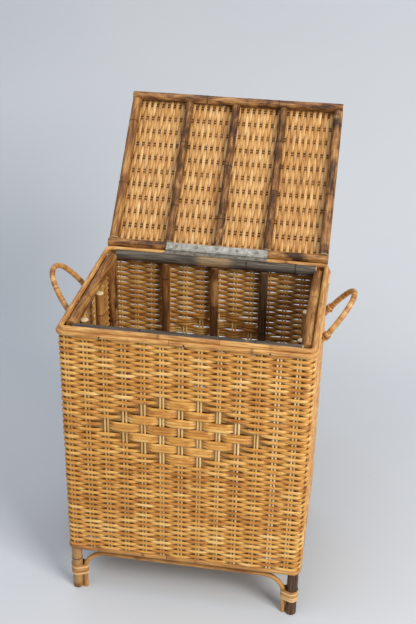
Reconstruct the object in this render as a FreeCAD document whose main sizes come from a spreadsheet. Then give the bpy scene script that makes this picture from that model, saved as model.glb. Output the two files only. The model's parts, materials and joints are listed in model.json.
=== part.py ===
"""Laundry hamper with a hinged lid: a rattan pole frame, woven walls, bent-cane trim and handles.

Millimetres, +Z up. The origin is on the floor, midway between the four feet. +X is the hamper's
right and +Y its back, where the lid is hinged. The lid is modelled standing open on its stop.
"""
import FreeCAD, Part
import math
import os
from Sketcher import Constraint

doc = FreeCAD.newDocument("LaundryHamper")
dims = doc.addObject("Spreadsheet::Sheet", "Dims")

drivingSizes = (
    # overall
    ("rimWidth", 450.0, "width over the lower rim cane"),
    ("rimDepth", 355.0, "depth over the lower rim cane"),
    ("rimHeight", 580.0, "floor to the top of the upper rim cane"),
    ("lidOpen", 136.0, "degrees from closed to where the rear pole meets the rim"),
    # woven walls
    ("weaveInset", 3.4, "lower rim cane's outside to the weave's outside"),
    ("weaveThickness", 9.2, "woven wall, over both faces"),
    ("weaveBottom", 108.6, "height of the lowest weaver"),
    ("cornerRadius", 14.1, "outside of the weave round a corner post"),
    ("fitGap", 0.2, "clearance between neighbouring poles, canes and weave"),
    # frame poles
    ("postRadius", 10.4, "corner post, which is also the leg"),
    ("railRadius", 10.0, "top and base rails"),
    ("railDrop", 12.2, "rim top down to a top rail's centre"),
    ("backRailDrop", 10.4, "rim top down to the back rail's centre"),
    ("baseRailHeight", 103.0, "floor to a base rail's centre"),
    ("wallPostRadius", 8.2, "upright inside a wall"),
    ("frontPostPitch", 97.0, "between the three uprights of the front or back"),
    ("sidePostPitch", 106.0, "between the two uprights of a side"),
    ("sidePostOffset", -47.0, "middle of a side's two uprights"),
    ("sidePostSetIn", 10.5, "side rail's centre to a side upright's centre"),
    # floor of the basket
    ("slatRadius", 6.5, "round slat under the woven floor"),
    ("slatPitch", 80.0, "between neighbouring slats"),
    ("floorThickness", 6.0, "woven floor"),
    # canes
    ("caneRadius", 4.8, "rim canes and leg braces"),
    ("upperCaneInset", 9.0, "lower rim cane's outside to the upper cane's centre"),
    ("lowerCaneDrop", 12.2, "rim top down to the lower cane's centre"),
    ("baseCaneRadius", 4.8, "edging round the weave's bottom"),
    ("braceHeight", 86.0, "floor to the level run of a brace"),
    ("braceBend", 43.0, "bend radius of a brace"),
    ("bindingBottom", 34.0, "lower edge of a leg binding"),
    ("bindingHeight", 24.0, "height of a leg binding"),
    ("bindingThickness", 1.3, "cane strip wound round leg and brace"),
    ("bindingSlack", 1.2, "room in the binding where the brace starts to bend"),
    # handles
    ("handleCore", 4.2, "radius of a handle's bent core"),
    ("handleWrap", 1.0, "thickness of the cane wound round the core"),
    ("handleSpan", 108.0, "between a handle's two ends"),
    ("handleRise", 81.0, "ends to the top of the loop, along its slope"),
    ("handleCrown", 42.0, "bend radius at the top of the loop"),
    ("handleLean", 35.7, "degrees a handle leans out from upright"),
    ("handleDrop", 40.0, "rim top down to a handle's ends"),
    ("handleStandoff", 4.4, "weave's outside to the centre of a handle's ends"),
    ("handleOffset", -4.0, "middle of a handle, from the middle of the side"),
    ("handleTail", 16.0, "straight end of a handle, trimmed at the weave"),
    ("lashingRadius", 1.5, "cord of the ring round a handle's end"),
    ("lashingRise", 7.0, "ring's place up the handle"),
    # hinge
    ("knuckleRadius", 2.7, "outside of the hinge barrel"),
    ("pinRadius", 1.2, "hinge pin"),
    ("pinClearance", 0.05, "radial running clearance round the pin"),
    ("hingeLift", 3.0, "rim top up to the hinge axis"),
    ("hingeLength", 200.0, "length of the hinge"),
    ("leafReach", 15.5, "hinge axis to a leaf's free edge"),
    ("leafThickness", 1.2, "sheet of a hinge leaf"),
    ("knuckleGap", 0.3, "end play between knuckles"),
    ("screwPitch", 40.0, "between the five screws of a leaf"),
    ("screwReach", 9.5, "hinge axis to the screws"),
    ("screwRadius", 1.5, "screw shank"),
    ("screwHeadRadius", 3.0, "screw head"),
    ("screwHeadHeight", 0.8, "screw head"),
    ("screwLength", 9.0, "screw under its head"),
    ("nailRadius", 0.8, "rim nail's shank"),
    ("nailHeadRadius", 1.6, "rim nail's head"),
    ("nailHeadHeight", 0.8, "rim nail's head"),
    ("nailProud", 0.2, "rim nail's head past the cane's outside"),
    ("nailLength", 20.0, "rim nail from head to point"),
    ("frontNailPitch", 145.0, "between the three nails of the front or back"),
    ("sideNailPitch", 212.0, "between the two nails of a side"),
    # lid
    ("lidInset", 7.5, "lower rim cane's outside to the lid's side"),
    ("lidOverhang", 3.0, "lid's front edge past the lower rim cane's outside"),
    ("crossPoleRadius", 9.0, "lid's front and rear poles"),
    ("sidePoleRadius", 9.6, "lid's left and right poles"),
    ("ribRadius", 8.2, "lid's inner ribs"),
    ("stopGap", 0.3, "left between the open lid's rear pole and the rim"),
    ("lidRest", 0.4, "gap between the closed lid's side poles and the rim"),
    ("lidPanelThickness", 7.0, "woven lid panel"),
    ("lidCaneRadius", 3.6, "edging cane round the lid panel"),
    ("lidCaneCorner", 12.0, "centre line of the edging cane at a corner"),
    ("panelBack", 1.4, "hinge axis to the lid edging's rear"),
)
frontPostCount = 3
sidePostCount = 2
slatCount = 4
ribCount = 3
knuckleCount = 10
screwCount = 5
frontNailCount = 3
sideNailCount = 2

for row, (alias, value, note) in enumerate(drivingSizes, start=1):
    dims.set(f"A{row}", alias)
    dims.set(f"B{row}", str(value))
    dims.setAlias(f"B{row}", alias)
    dims.set(f"C{row}", note)
doc.recompute()

# Places worked out from the driving sizes, written as spreadsheet expressions.
weaveOutX = "(Dims.rimWidth / 2 - Dims.weaveInset)"
weaveOutY = "(Dims.rimDepth / 2 - Dims.weaveInset)"
weaveInX = f"({weaveOutX} - Dims.weaveThickness)"
weaveInY = f"({weaveOutY} - Dims.weaveThickness)"
weaveMidX = f"({weaveOutX} - Dims.weaveThickness / 2)"
weaveMidY = f"({weaveOutY} - Dims.weaveThickness / 2)"
postX = f"({weaveOutX} - Dims.cornerRadius)"
postY = f"({weaveOutY} - Dims.cornerRadius)"
railX = f"({weaveInX} - Dims.railRadius - Dims.fitGap)"
railY = f"({weaveInY} - Dims.railRadius - Dims.fitGap)"
lowerCaneX = "(Dims.rimWidth / 2 - Dims.caneRadius)"
lowerCaneY = "(Dims.rimDepth / 2 - Dims.caneRadius)"
lowerCaneZ = "(Dims.rimHeight - Dims.lowerCaneDrop)"
lowerCaneUnder = f"({lowerCaneZ} - Dims.caneRadius - Dims.fitGap)"
upperCaneX = "(Dims.rimWidth / 2 - Dims.upperCaneInset)"
upperCaneY = "(Dims.rimDepth / 2 - Dims.upperCaneInset)"
upperCaneUnder = "(Dims.rimHeight - 2 * Dims.caneRadius - Dims.fitGap)"
topRailZ = "(Dims.rimHeight - Dims.railDrop)"
backRailZ = "(Dims.rimHeight - Dims.backRailDrop)"
baseRailTop = "(Dims.baseRailHeight + Dims.railRadius + Dims.fitGap)"
floorTop = f"({baseRailTop} + Dims.floorThickness)"
sidePostX = f"({railX} - Dims.sidePostSetIn)"
braceX = f"({postX} - Dims.postRadius - Dims.caneRadius - Dims.fitGap)"
hingeY = upperCaneY
hingeZ = "(Dims.rimHeight + Dims.hingeLift)"
handleX = f"({weaveOutX} + Dims.handleStandoff)"
handleZ = "(Dims.rimHeight - Dims.handleDrop)"
wrapRadius = "(Dims.handleCore + Dims.handleWrap)"

# Lid places, in the closed lid's own frame: origin on the hinge axis, front towards -Y.
lidHalf = "(Dims.rimWidth / 2 - Dims.lidInset)"
lidLength = f"({hingeY} + Dims.rimDepth / 2 + Dims.lidOverhang)"
sidePoleZ = "(Dims.sidePoleRadius + Dims.lidRest - Dims.hingeLift)"
poleTop = f"({sidePoleZ} + Dims.sidePoleRadius)"
crossPoleZ = f"({poleTop} - Dims.crossPoleRadius)"
ribZ = f"({poleTop} - Dims.ribRadius)"
# The open lid's rear pole stands this far from the upper cane, centre to centre, and so as far in
# from the hinge axis: the cosine rule in the triangle of axis, pole and cane.
stopReach = "(Dims.crossPoleRadius + Dims.caneRadius + Dims.stopGap)"
caneUnderAxis = "(Dims.hingeLift + Dims.caneRadius)"
stopCross = f"({caneUnderAxis} * cos(Dims.lidOpen) + {crossPoleZ})"
stopAlong = f"({caneUnderAxis} * sin(Dims.lidOpen))"
rearPoleY = f"({stopAlong} - sqrt({stopReach} ^ 2 - {stopCross} ^ 2))"
frontPoleY = f"(Dims.crossPoleRadius - {lidLength})"
ribBack = f"({rearPoleY} - Dims.crossPoleRadius - Dims.fitGap)"
ribLength = f"({ribBack} - {frontPoleY} - Dims.crossPoleRadius - Dims.fitGap)"
lidPoleX = f"({lidHalf} - Dims.sidePoleRadius)"
lidCaneX = f"({lidHalf} - Dims.lidCaneRadius)"
lidCaneBack = "(0 - Dims.panelBack - Dims.lidCaneRadius)"
lidCaneFront = f"(Dims.lidCaneRadius - {lidLength})"
lidCaneZ = f"({poleTop} + Dims.fitGap + Dims.lidCaneRadius)"

upright = FreeCAD.Rotation()
alongX = FreeCAD.Rotation(FreeCAD.Vector(0, 1, 0), 90)
alongY = FreeCAD.Rotation(FreeCAD.Vector(1, 0, 0), -90)
standing = FreeCAD.Rotation(FreeCAD.Vector(1, 0, 0), 90)
aboutFace = FreeCAD.Rotation(FreeCAD.Vector(0, 0, 1), 180)
origin = ("0", "0", "0")
subParts = []


def size(expression):
    """Value of an expression of the sheet's sizes."""
    return float(dims.evalExpression(expression))


lidTurn = FreeCAD.Rotation(FreeCAD.Vector(1, 0, 0), -size("Dims.lidOpen"))


def bind(thing, **expressions):
    for name, expression in expressions.items():
        thing.setExpression(name, expression)
    return thing


def place(thing, at, turn=upright):
    """Puts a thing at bound coordinates in the hamper's frame, turned."""
    thing.Placement = FreeCAD.Placement(FreeCAD.Vector(), turn)
    for axis, expression in zip("xyz", at):
        thing.setExpression(f"Placement.Base.{axis}", expression)
    return thing


def placeOnLid(thing, at=origin, turn=upright):
    """Puts a thing at bound coordinates of the closed lid's frame, swung open about the hinge."""
    x, y, z = at
    openY = f"{hingeY} + ({y}) * cos(Dims.lidOpen) + ({z}) * sin(Dims.lidOpen)"
    openZ = f"{hingeZ} - ({y}) * sin(Dims.lidOpen) + ({z}) * cos(Dims.lidOpen)"
    return place(thing, (x, openY, openZ), lidTurn.multiply(turn))


def keep(label, thing):
    """Registers a thing as the sub-part that is written under this label."""
    thing.Label = label
    subParts.append(thing)
    return thing


def box(name, low, span):
    made = doc.addObject("Part::Box", name)
    bind(made, Length=span[0], Width=span[1], Height=span[2])
    return place(made, low)


def rod(name, radius, length, at, turn=upright, put=place):
    """Round bar that starts at a point and runs along the turned Z axis."""
    made = doc.addObject("Part::Cylinder", name)
    bind(made, Radius=radius, Height=length)
    return put(made, at, turn)


def sector(name, radius, height, at, startDegrees, sweepDegrees):
    """Upright solid cylinder sector."""
    made = doc.addObject("Part::Cylinder", name)
    bind(made, Radius=radius, Height=height)
    made.Angle = sweepDegrees
    return place(made, at, FreeCAD.Rotation(FreeCAD.Vector(0, 0, 1), startDegrees))


def bend(name, bendRadius, tubeRadius, at, turn):
    """Quarter of a ring, from local +X round to local +Y."""
    made = doc.addObject("Part::Torus", name)
    bind(made, Radius1=bendRadius, Radius2=tubeRadius)
    made.Angle3 = 90
    return place(made, at, turn)


def fuse(name, things):
    made = doc.addObject("Part::MultiFuse", name)
    made.Shapes = things
    return made


def group(name, things):
    made = doc.addObject("Part::Compound", name)
    made.Links = things
    return made


def cut(name, base, tool):
    made = doc.addObject("Part::Cut", name)
    made.Base = base
    made.Tool = tool
    return made


def sketchOn(body, role, name, lift="0"):
    """Sketch attached to one of the body's own origin planes."""
    plane = next(item for item in body.Origin.OriginFeatures if item.Role == role)
    made = body.newObject("Sketcher::SketchObject", name)
    made.AttachmentSupport = [(plane, "")]
    made.MapMode = "FlatFace"
    made.setExpression("AttachmentOffset.Base.z", lift)
    return made


def dimension(sketch, name, expression, constraint):
    """Adds a named driving constraint and ties it to the sheet."""
    index = sketch.addConstraint(constraint)
    sketch.renameConstraint(index, name)
    sketch.setExpression(f"Constraints.{name}", expression)


def caneLoop(name, halfX, backY, frontY, z, cornerX, cornerY, radius):
    """Round cane bent round a rectangle; cornerX and cornerY are the bends' centres in from it."""
    innerX = f"({halfX} - {cornerX})"
    innerBack = f"({backY} - {cornerY})"
    innerFront = f"({frontY} + {cornerY})"
    pieces = [
        rod(f"{name}Back", radius, f"2 * {innerX}", (f"0 - {innerX}", backY, z), alongX),
        rod(f"{name}Front", radius, f"2 * {innerX}", (f"0 - {innerX}", frontY, z), alongX),
        rod(f"{name}Left", radius, f"{innerBack} - {innerFront}", (f"0 - {halfX}", innerFront, z), alongY),
        rod(f"{name}Right", radius, f"{innerBack} - {innerFront}", (halfX, innerFront, z), alongY),
    ]
    corners = ((innerX, innerBack), (f"0 - {innerX}", innerBack),
               (f"0 - {innerX}", innerFront), (innerX, innerFront))
    for quarter, (x, y) in enumerate(corners):
        turn = FreeCAD.Rotation(FreeCAD.Vector(0, 0, 1), 90 * quarter)
        pieces.append(bend(f"{name}Bend{quarter}", cornerX, radius, (x, y, z), turn))
    return fuse(name, pieces)


def sign(side):
    """Expression prefix that puts a positive distance on this side of the middle."""
    return "" if side > 0 else "0 - "


corners = {
    "front_left": (-1, -1),
    "front_right": (1, -1),
    "back_left": (-1, 1),
    "back_right": (1, 1),
}


# Corner posts run from the floor to just under the lower rim cane.
postTool = []
for corner, (sideX, sideY) in corners.items():
    at = (f"{sign(sideX)}{postX}", f"{sign(sideY)}{postY}", "0")
    keep(f"corner_post_{corner}", rod(f"Post_{corner}", "Dims.postRadius", lowerCaneUnder, at))
    postTool.append(rod(f"PostRoom_{corner}", "Dims.postRadius + Dims.fitGap", "Dims.rimHeight", at))
postRoom = fuse("PostRoom", postTool)

# Top and base rails: front and back ones reach the posts, side ones butt against those.
longRail = f"({postX} - Dims.postRadius - Dims.fitGap)"
shortRail = f"({railY} - Dims.railRadius - Dims.fitGap)"
for level, frontZ, backZ in (
    ("top", topRailZ, backRailZ),
    ("base", "Dims.baseRailHeight", "Dims.baseRailHeight"),
):
    for wall, y, z in (("front", f"0 - {railY}", frontZ), ("back", railY, backZ)):
        at = (f"0 - {longRail}", y, z)
        rail = rod(f"{level}Rail{wall}", "Dims.railRadius", f"2 * {longRail}", at, alongX)
        keep(f"{level}_rail_{wall}", rail)
    for wall, x in (("left", f"0 - {railX}"), ("right", railX)):
        at = (x, f"0 - {shortRail}", frontZ)
        rail = rod(f"{level}Rail{wall}", "Dims.railRadius", f"2 * {shortRail}", at, alongY)
        keep(f"{level}_rail_{wall}", rail)

# Uprights inside the walls stand between the base and top rails.
for wall, y, railZ in (("front", f"0 - {railY}", topRailZ), ("back", railY, backRailZ)):
    for index in range(frontPostCount):
        x = f"{index - (frontPostCount - 1) / 2} * Dims.frontPostPitch"
        length = f"{railZ} - Dims.railRadius - Dims.fitGap - {baseRailTop}"
        post = rod(f"WallPost_{wall}{index}", "Dims.wallPostRadius", length, (x, y, baseRailTop))
        keep(f"wall_post_{wall}_{index + 1}", post)
for wall, x in (("left", f"0 - {sidePostX}"), ("right", sidePostX)):
    for index in range(sidePostCount):
        y = f"Dims.sidePostOffset + {index - (sidePostCount - 1) / 2} * Dims.sidePostPitch"
        length = f"{topRailZ} - Dims.railRadius - 2 * Dims.fitGap - {floorTop}"
        at = (x, y, f"{floorTop} + Dims.fitGap")
        post = rod(f"WallPost_{wall}{index}", "Dims.wallPostRadius", length, at)
        keep(f"wall_post_{wall}_{index + 1}", post)

# Woven walls. Each is a slab whose ends wrap halfway round the corner posts, with a thin lip
# that stands up behind the lower rim cane.
wallHeight = f"({lowerCaneUnder} - Dims.weaveBottom)"
lipHeight = f"({upperCaneUnder} - Dims.weaveBottom)"
lipThicknessX = f"({lowerCaneX} - Dims.caneRadius - Dims.fitGap - {weaveInX})"
for wall, side in (("front", -1), ("back", 1)):
    slabY = f"0 - {weaveOutY}" if side < 0 else weaveInY
    lipY = f"0 - {weaveInY} - {lipThicknessX}" if side < 0 else weaveInY
    pieces = [
        box(f"Slab_{wall}", (f"0 - {postX}", slabY, "Dims.weaveBottom"),
            (f"2 * {postX}", "Dims.weaveThickness", wallHeight)),
        box(f"Lip_{wall}", (f"0 - {postX}", lipY, "Dims.weaveBottom"),
            (f"2 * {postX}", lipThicknessX, lipHeight)),
    ]
    for sideX in (-1, 1):
        start = {(-1, -1): 225, (1, -1): 270, (1, 1): 45, (-1, 1): 90}[(sideX, side)]
        at = (f"{sign(sideX)}{postX}", f"{sign(side)}{postY}", "Dims.weaveBottom")
        pieces.append(sector(f"Turn_{wall}{sideX}", "Dims.cornerRadius", wallHeight, at, start, 45))
    keep(f"weave_{wall}", cut(f"Weave_{wall}", fuse(f"Wall_{wall}", pieces), postRoom))
for wall, side in (("left", -1), ("right", 1)):
    slabX = f"0 - {weaveOutX}" if side < 0 else weaveInX
    lipX = f"0 - {weaveInX} - {lipThicknessX}" if side < 0 else weaveInX
    pieces = [
        box(f"Slab_{wall}", (slabX, f"0 - {postY}", "Dims.weaveBottom"),
            ("Dims.weaveThickness", f"2 * {postY}", wallHeight)),
        box(f"Lip_{wall}", (lipX, f"0 - {postY}", "Dims.weaveBottom"),
            (lipThicknessX, f"2 * {postY}", lipHeight)),
    ]
    for sideY in (-1, 1):
        start = {(-1, -1): 180, (1, -1): 315, (1, 1): 0, (-1, 1): 135}[(side, sideY)]
        at = (f"{sign(side)}{postX}", f"{sign(sideY)}{postY}", "Dims.weaveBottom")
        pieces.append(sector(f"Turn_{wall}{sideY}", "Dims.cornerRadius", wallHeight, at, start, 45))
    keep(f"weave_{wall}", cut(f"Weave_{wall}", fuse(f"Wall_{wall}", pieces), postRoom))

# Rim canes: one lies on the weave's top edge and one is bent round the outside below it.
keep("rim_cane_upper", caneLoop(
    "UpperCane", upperCaneX, upperCaneY, f"(0 - {upperCaneY})", "(Dims.rimHeight - Dims.caneRadius)",
    f"({upperCaneX} - {postX})", f"({upperCaneY} - {postY})", "Dims.caneRadius"))
keep("rim_cane_lower", caneLoop(
    "LowerCane", lowerCaneX, lowerCaneY, f"(0 - {lowerCaneY})", lowerCaneZ,
    f"({lowerCaneX} - {postX})", f"({lowerCaneY} - {postY})", "Dims.caneRadius"))

# Base cane: round along the walls, and split thin where it passes outside the legs.
baseCaneZ = "(Dims.weaveBottom - Dims.baseCaneRadius - Dims.fitGap)"
basePieces = []
for side in (-1, 1):
    basePieces.append(rod(f"BaseCaneX{side}", "Dims.baseCaneRadius", f"2 * {postX}",
                          (f"0 - {postX}", f"{sign(side)}{weaveMidY}", baseCaneZ), alongX))
    basePieces.append(rod(f"BaseCaneY{side}", "Dims.baseCaneRadius", f"2 * {postY}",
                          (f"{sign(side)}{weaveMidX}", f"0 - {postY}", baseCaneZ), alongY))
for corner, (sideX, sideY) in corners.items():
    start = {(-1, -1): 180, (1, -1): 270, (1, 1): 0, (-1, 1): 90}[(sideX, sideY)]
    at = (f"{sign(sideX)}{postX}", f"{sign(sideY)}{postY}", f"{baseCaneZ} - Dims.baseCaneRadius")
    basePieces.append(sector(f"BaseCaneTurn_{corner}", "Dims.cornerRadius",
                             "2 * Dims.baseCaneRadius", at, start, 90))
keep("base_cane", cut("BaseCane", fuse("BaseCaneWhole", basePieces), postRoom))

# Leg braces: one cane per wall, up from each foot, bent under the basket and across.
braceFoot = "(Dims.braceHeight - Dims.braceBend)"
braceInner = f"({braceX} - Dims.braceBend)"
braces = {}
for wall, side in (("front", -1), ("back", 1)):
    y = f"{sign(side)}{postY}"
    braces[side] = fuse(f"Brace_{wall}", [
        rod(f"BraceLeft_{wall}", "Dims.caneRadius", braceFoot, (f"0 - {braceX}", y, "0")),
        rod(f"BraceRight_{wall}", "Dims.caneRadius", braceFoot, (braceX, y, "0")),
        bend(f"BraceBendRight_{wall}", "Dims.braceBend", "Dims.caneRadius",
             (braceInner, y, braceFoot), standing),
        bend(f"BraceBendLeft_{wall}", "Dims.braceBend", "Dims.caneRadius",
             (f"0 - {braceInner}", y, braceFoot), aboutFace.multiply(standing)),
        rod(f"BraceRun_{wall}", "Dims.caneRadius", f"2 * {braceInner}",
            (f"0 - {braceInner}", y, "Dims.braceHeight"), alongX),
    ])
    keep(f"brace_{wall}", braces[side])


def bindingBody(corner):
    """Cane strip wound round a leg and its brace, as the outline of both padded upwards."""
    legRadius = "Dims.postRadius + Dims.bindingThickness"
    lobeRadius = "Dims.caneRadius + Dims.bindingSlack + Dims.bindingThickness"
    reach = f"{postX} - {braceX} + Dims.bindingSlack"
    big, small, apart = size(legRadius), size(lobeRadius), size(reach)
    lean = (big - small) / apart
    rise = (1 - lean * lean) ** 0.5
    up = FreeCAD.Vector(lean, rise, 0)
    down = FreeCAD.Vector(lean, -rise, 0)
    axis = FreeCAD.Vector(0, 0, 1)
    far = FreeCAD.Vector(apart, 0, 0)
    body = doc.addObject("PartDesign::Body", f"BindingBody_{corner}")
    outline = sketchOn(body, "XY_Plane", f"BindingOutline_{corner}", "Dims.bindingBottom")
    angle = FreeCAD.Vector(1, 0, 0).getAngle(up)
    outline.addGeometry([
        Part.ArcOfCircle(Part.Circle(FreeCAD.Vector(), axis, big), angle, 2 * math.pi - angle),
        Part.LineSegment(down * big, far + down * small),
        Part.ArcOfCircle(Part.Circle(far, axis, small), -angle, angle),
        Part.LineSegment(far + up * small, up * big),
    ])
    for first, end, second, begin in ((0, 2, 1, 1), (1, 2, 2, 1), (2, 2, 3, 1), (3, 2, 0, 1)):
        outline.addConstraint(Constraint("Tangent", first, end, second, begin))
    outline.addConstraint(Constraint("Coincident", 0, 3, -1, 1))
    outline.addConstraint(Constraint("PointOnObject", 2, 3, -1))
    dimension(outline, "leg", legRadius, Constraint("Radius", 0, big))
    dimension(outline, "lobe", lobeRadius, Constraint("Radius", 2, small))
    dimension(outline, "reach", reach, Constraint("DistanceX", -1, 1, 2, 3, apart))
    pad = body.newObject("PartDesign::Pad", f"BindingPad_{corner}")
    pad.Profile = outline
    bind(pad, Length="Dims.bindingHeight")
    return body


for corner, (sideX, sideY) in corners.items():
    body = bindingBody(corner)
    inward = upright if sideX < 0 else aboutFace
    at = (f"{sign(sideX)}{postX}", f"{sign(sideY)}{postY}", "0")
    place(body, at, inward)
    leg = rod(f"BindingLeg_{corner}", "Dims.postRadius", lowerCaneUnder, at)
    inside = fuse(f"BindingCore_{corner}", [leg, braces[sideY]])
    keep(f"leg_binding_{corner}", cut(f"Binding_{corner}", body, inside))

# Basket floor: round slats between the base rails, with a woven panel on them.
slatZ = "(Dims.baseRailHeight + Dims.railRadius - Dims.slatRadius)"
slats = []
for index in range(slatCount):
    x = f"{index - (slatCount - 1) / 2} * Dims.slatPitch"
    at = (x, f"0 - {shortRail}", slatZ)
    slats.append(rod(f"Slat{index}", "Dims.slatRadius", f"2 * {shortRail}", at, alongY))
keep("base_slats", group("BaseSlats", slats))
floorX = f"({longRail} - Dims.fitGap)"
floorY = f"({railY} - Dims.wallPostRadius - 2 * Dims.fitGap)"
keep("base_panel", box("BasePanel", (f"0 - {floorX}", f"0 - {floorY}", baseRailTop),
                       (f"2 * {floorX}", f"2 * {floorY}", "Dims.floorThickness")))


def handleRod(name, radius):
    """Bent round bar of a handle: two straight tails, two wide side arcs and a tighter crown."""
    half, rise, crown, tail = (size(f"Dims.{part}") for part in
                               ("handleSpan / 2", "handleRise", "handleCrown", "handleTail"))
    crownZ = rise - crown
    sweepRadius = (half ** 2 + crownZ ** 2 - crown ** 2) / (2 * (half - crown))
    sideX = half - sweepRadius
    joint = FreeCAD.Vector(-sideX, crownZ, 0).normalize() * crown + FreeCAD.Vector(0, crownZ, 0)
    lean = FreeCAD.Vector(1, 0, 0).getAngle(joint - FreeCAD.Vector(sideX, 0, 0))
    axis = FreeCAD.Vector(0, 0, 1)
    farSide = Part.Circle(FreeCAD.Vector(-sideX, 0, 0), axis, sweepRadius)
    body = doc.addObject("PartDesign::Body", name)
    path = sketchOn(body, "XZ_Plane", f"{name}Path")
    path.addGeometry([
        Part.LineSegment(FreeCAD.Vector(half, -tail, 0), FreeCAD.Vector(half, 0, 0)),
        Part.ArcOfCircle(Part.Circle(FreeCAD.Vector(sideX, 0, 0), axis, sweepRadius), 0, lean),
        Part.ArcOfCircle(Part.Circle(FreeCAD.Vector(0, crownZ, 0), axis, crown), lean, math.pi - lean),
        Part.ArcOfCircle(farSide, math.pi - lean, math.pi),
        Part.LineSegment(FreeCAD.Vector(-half, 0, 0), FreeCAD.Vector(-half, -tail, 0)),
    ])
    for first, end, second, begin in ((0, 2, 1, 1), (1, 2, 2, 1), (2, 2, 3, 1), (3, 2, 4, 1)):
        path.addConstraint(Constraint("Tangent", first, end, second, begin))
    path.addConstraint(Constraint("Vertical", 0))
    path.addConstraint(Constraint("Vertical", 4))
    path.addConstraint(Constraint("PointOnObject", 1, 3, -1))
    path.addConstraint(Constraint("PointOnObject", 3, 3, -1))
    path.addConstraint(Constraint("PointOnObject", 2, 3, -2))
    dimension(path, "right", "Dims.handleSpan / 2", Constraint("DistanceX", -1, 1, 1, 1, half))
    dimension(path, "left", "Dims.handleSpan / 2", Constraint("DistanceX", 3, 2, -1, 1, half))
    dimension(path, "tailRight", "Dims.handleTail", Constraint("DistanceY", 0, 1, -1, 1, tail))
    dimension(path, "tailLeft", "Dims.handleTail", Constraint("DistanceY", 4, 2, -1, 1, tail))
    dimension(path, "crown", "Dims.handleCrown", Constraint("Radius", 2, crown))
    dimension(path, "crownHeight", "Dims.handleRise - Dims.handleCrown",
              Constraint("DistanceY", -1, 1, 2, 3, crownZ))
    section = sketchOn(body, "XY_Plane", f"{name}Section", "0 - Dims.handleTail")
    section.addGeometry(Part.Circle(FreeCAD.Vector(half, 0, 0), axis, size(radius)))
    section.addConstraint(Constraint("PointOnObject", 0, 3, -1))
    dimension(section, "offset", "Dims.handleSpan / 2", Constraint("DistanceX", -1, 1, 0, 3, half))
    dimension(section, "radius", radius, Constraint("Radius", 0, size(radius)))
    pipe = body.newObject("PartDesign::AdditivePipe", f"{name}Pipe")
    pipe.Profile = section
    pipe.Spine = path
    return body


# Handles: a bent core wound with cane, leaning out from each side, with a lashing at each end.
wallReach = f"({weaveOutX} + Dims.fitGap)"
lashingRing = f"{wrapRadius} + Dims.lashingRadius + 2 * Dims.fitGap"
for wall, side in (("left", -1), ("right", 1)):
    lean = FreeCAD.Rotation(FreeCAD.Vector(0, 1, 0), side * size("Dims.handleLean"))
    turn = lean.multiply(FreeCAD.Rotation(FreeCAD.Vector(0, 0, 1), 90))
    at = (f"{sign(side)}{handleX}", "Dims.handleOffset", handleZ)
    core = place(handleRod(f"HandleCoreRod_{wall}", "Dims.handleCore"), at, turn)
    skin = place(handleRod(f"HandleSkinRod_{wall}", wrapRadius), at, turn)
    trim = box(f"HandleTrim_{wall}", (f"0 - {wallReach}", f"0 - {postY}", "0"),
               (f"2 * {wallReach}", f"2 * {postY}", "Dims.rimHeight"))
    keep(f"handle_core_{wall}", cut(f"HandleCore_{wall}", core, trim))
    inside = fuse(f"HandleInside_{wall}", [core, trim])
    keep(f"handle_wrap_{wall}", cut(f"HandleWrap_{wall}", skin, inside))
    rings = []
    for end in (-1, 1):
        ring = doc.addObject("Part::Torus", f"Lashing_{wall}{end}")
        bind(ring, Radius1=lashingRing, Radius2="Dims.lashingRadius")
        rings.append(place(ring, (f"{sign(side)}({handleX} + Dims.lashingRise * sin(Dims.handleLean))",
                                  f"Dims.handleOffset + {end} * Dims.handleSpan / 2",
                                  f"{handleZ} + Dims.lashingRise * cos(Dims.handleLean)"), lean))
    keep(f"handle_lashing_{wall}", group(f"Lashings_{wall}", rings))


# Room that is cut for the hinge runs past both of its ends.
roomStart = "(0 - Dims.hingeLength / 2 - 2 * Dims.fitGap)"
roomLength = "(Dims.hingeLength + 4 * Dims.fitGap)"


def hingeLeaf(name, first):
    """Leaf that lies below the axis and reaches forward, with every other knuckle of the barrel."""
    pitch = f"(Dims.hingeLength / {knuckleCount})"
    floor = "0 - Dims.knuckleRadius"
    clear = "(Dims.knuckleRadius + Dims.knuckleGap)"
    holeRadius = "Dims.screwRadius + Dims.fitGap"
    holeFoot = f"{floor} - Dims.leafThickness"
    pieces = [box(f"{name}Plate", ("0 - Dims.hingeLength / 2", "0 - Dims.leafReach", floor),
                  ("Dims.hingeLength", f"Dims.leafReach - {clear}", "Dims.leafThickness"))]
    for index in range(first, knuckleCount, 2):
        start = f"{index} * {pitch} - Dims.hingeLength / 2 + Dims.knuckleGap / 2"
        length = f"{pitch} - Dims.knuckleGap"
        pieces.append(rod(f"{name}Knuckle{index}", "Dims.knuckleRadius", length, (start, "0", "0"), alongX))
        pieces.append(box(f"{name}Tab{index}", (start, f"0 - {clear}", floor),
                          (length, clear, "Dims.leafThickness")))
    holes = [rod(f"{name}Bore", "Dims.pinRadius + Dims.pinClearance", roomLength,
                 (roomStart, "0", "0"), alongX)]
    for x in screwPlaces():
        holes.append(rod(f"{name}Hole{len(holes)}", holeRadius, "3 * Dims.leafThickness",
                         (x, "0 - Dims.screwReach", holeFoot)))
    return cut(name, fuse(f"{name}Solid", pieces), fuse(f"{name}Holes", holes))


def screwPlaces():
    return [f"{index - (screwCount - 1) / 2} * Dims.screwPitch" for index in range(screwCount)]


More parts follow.
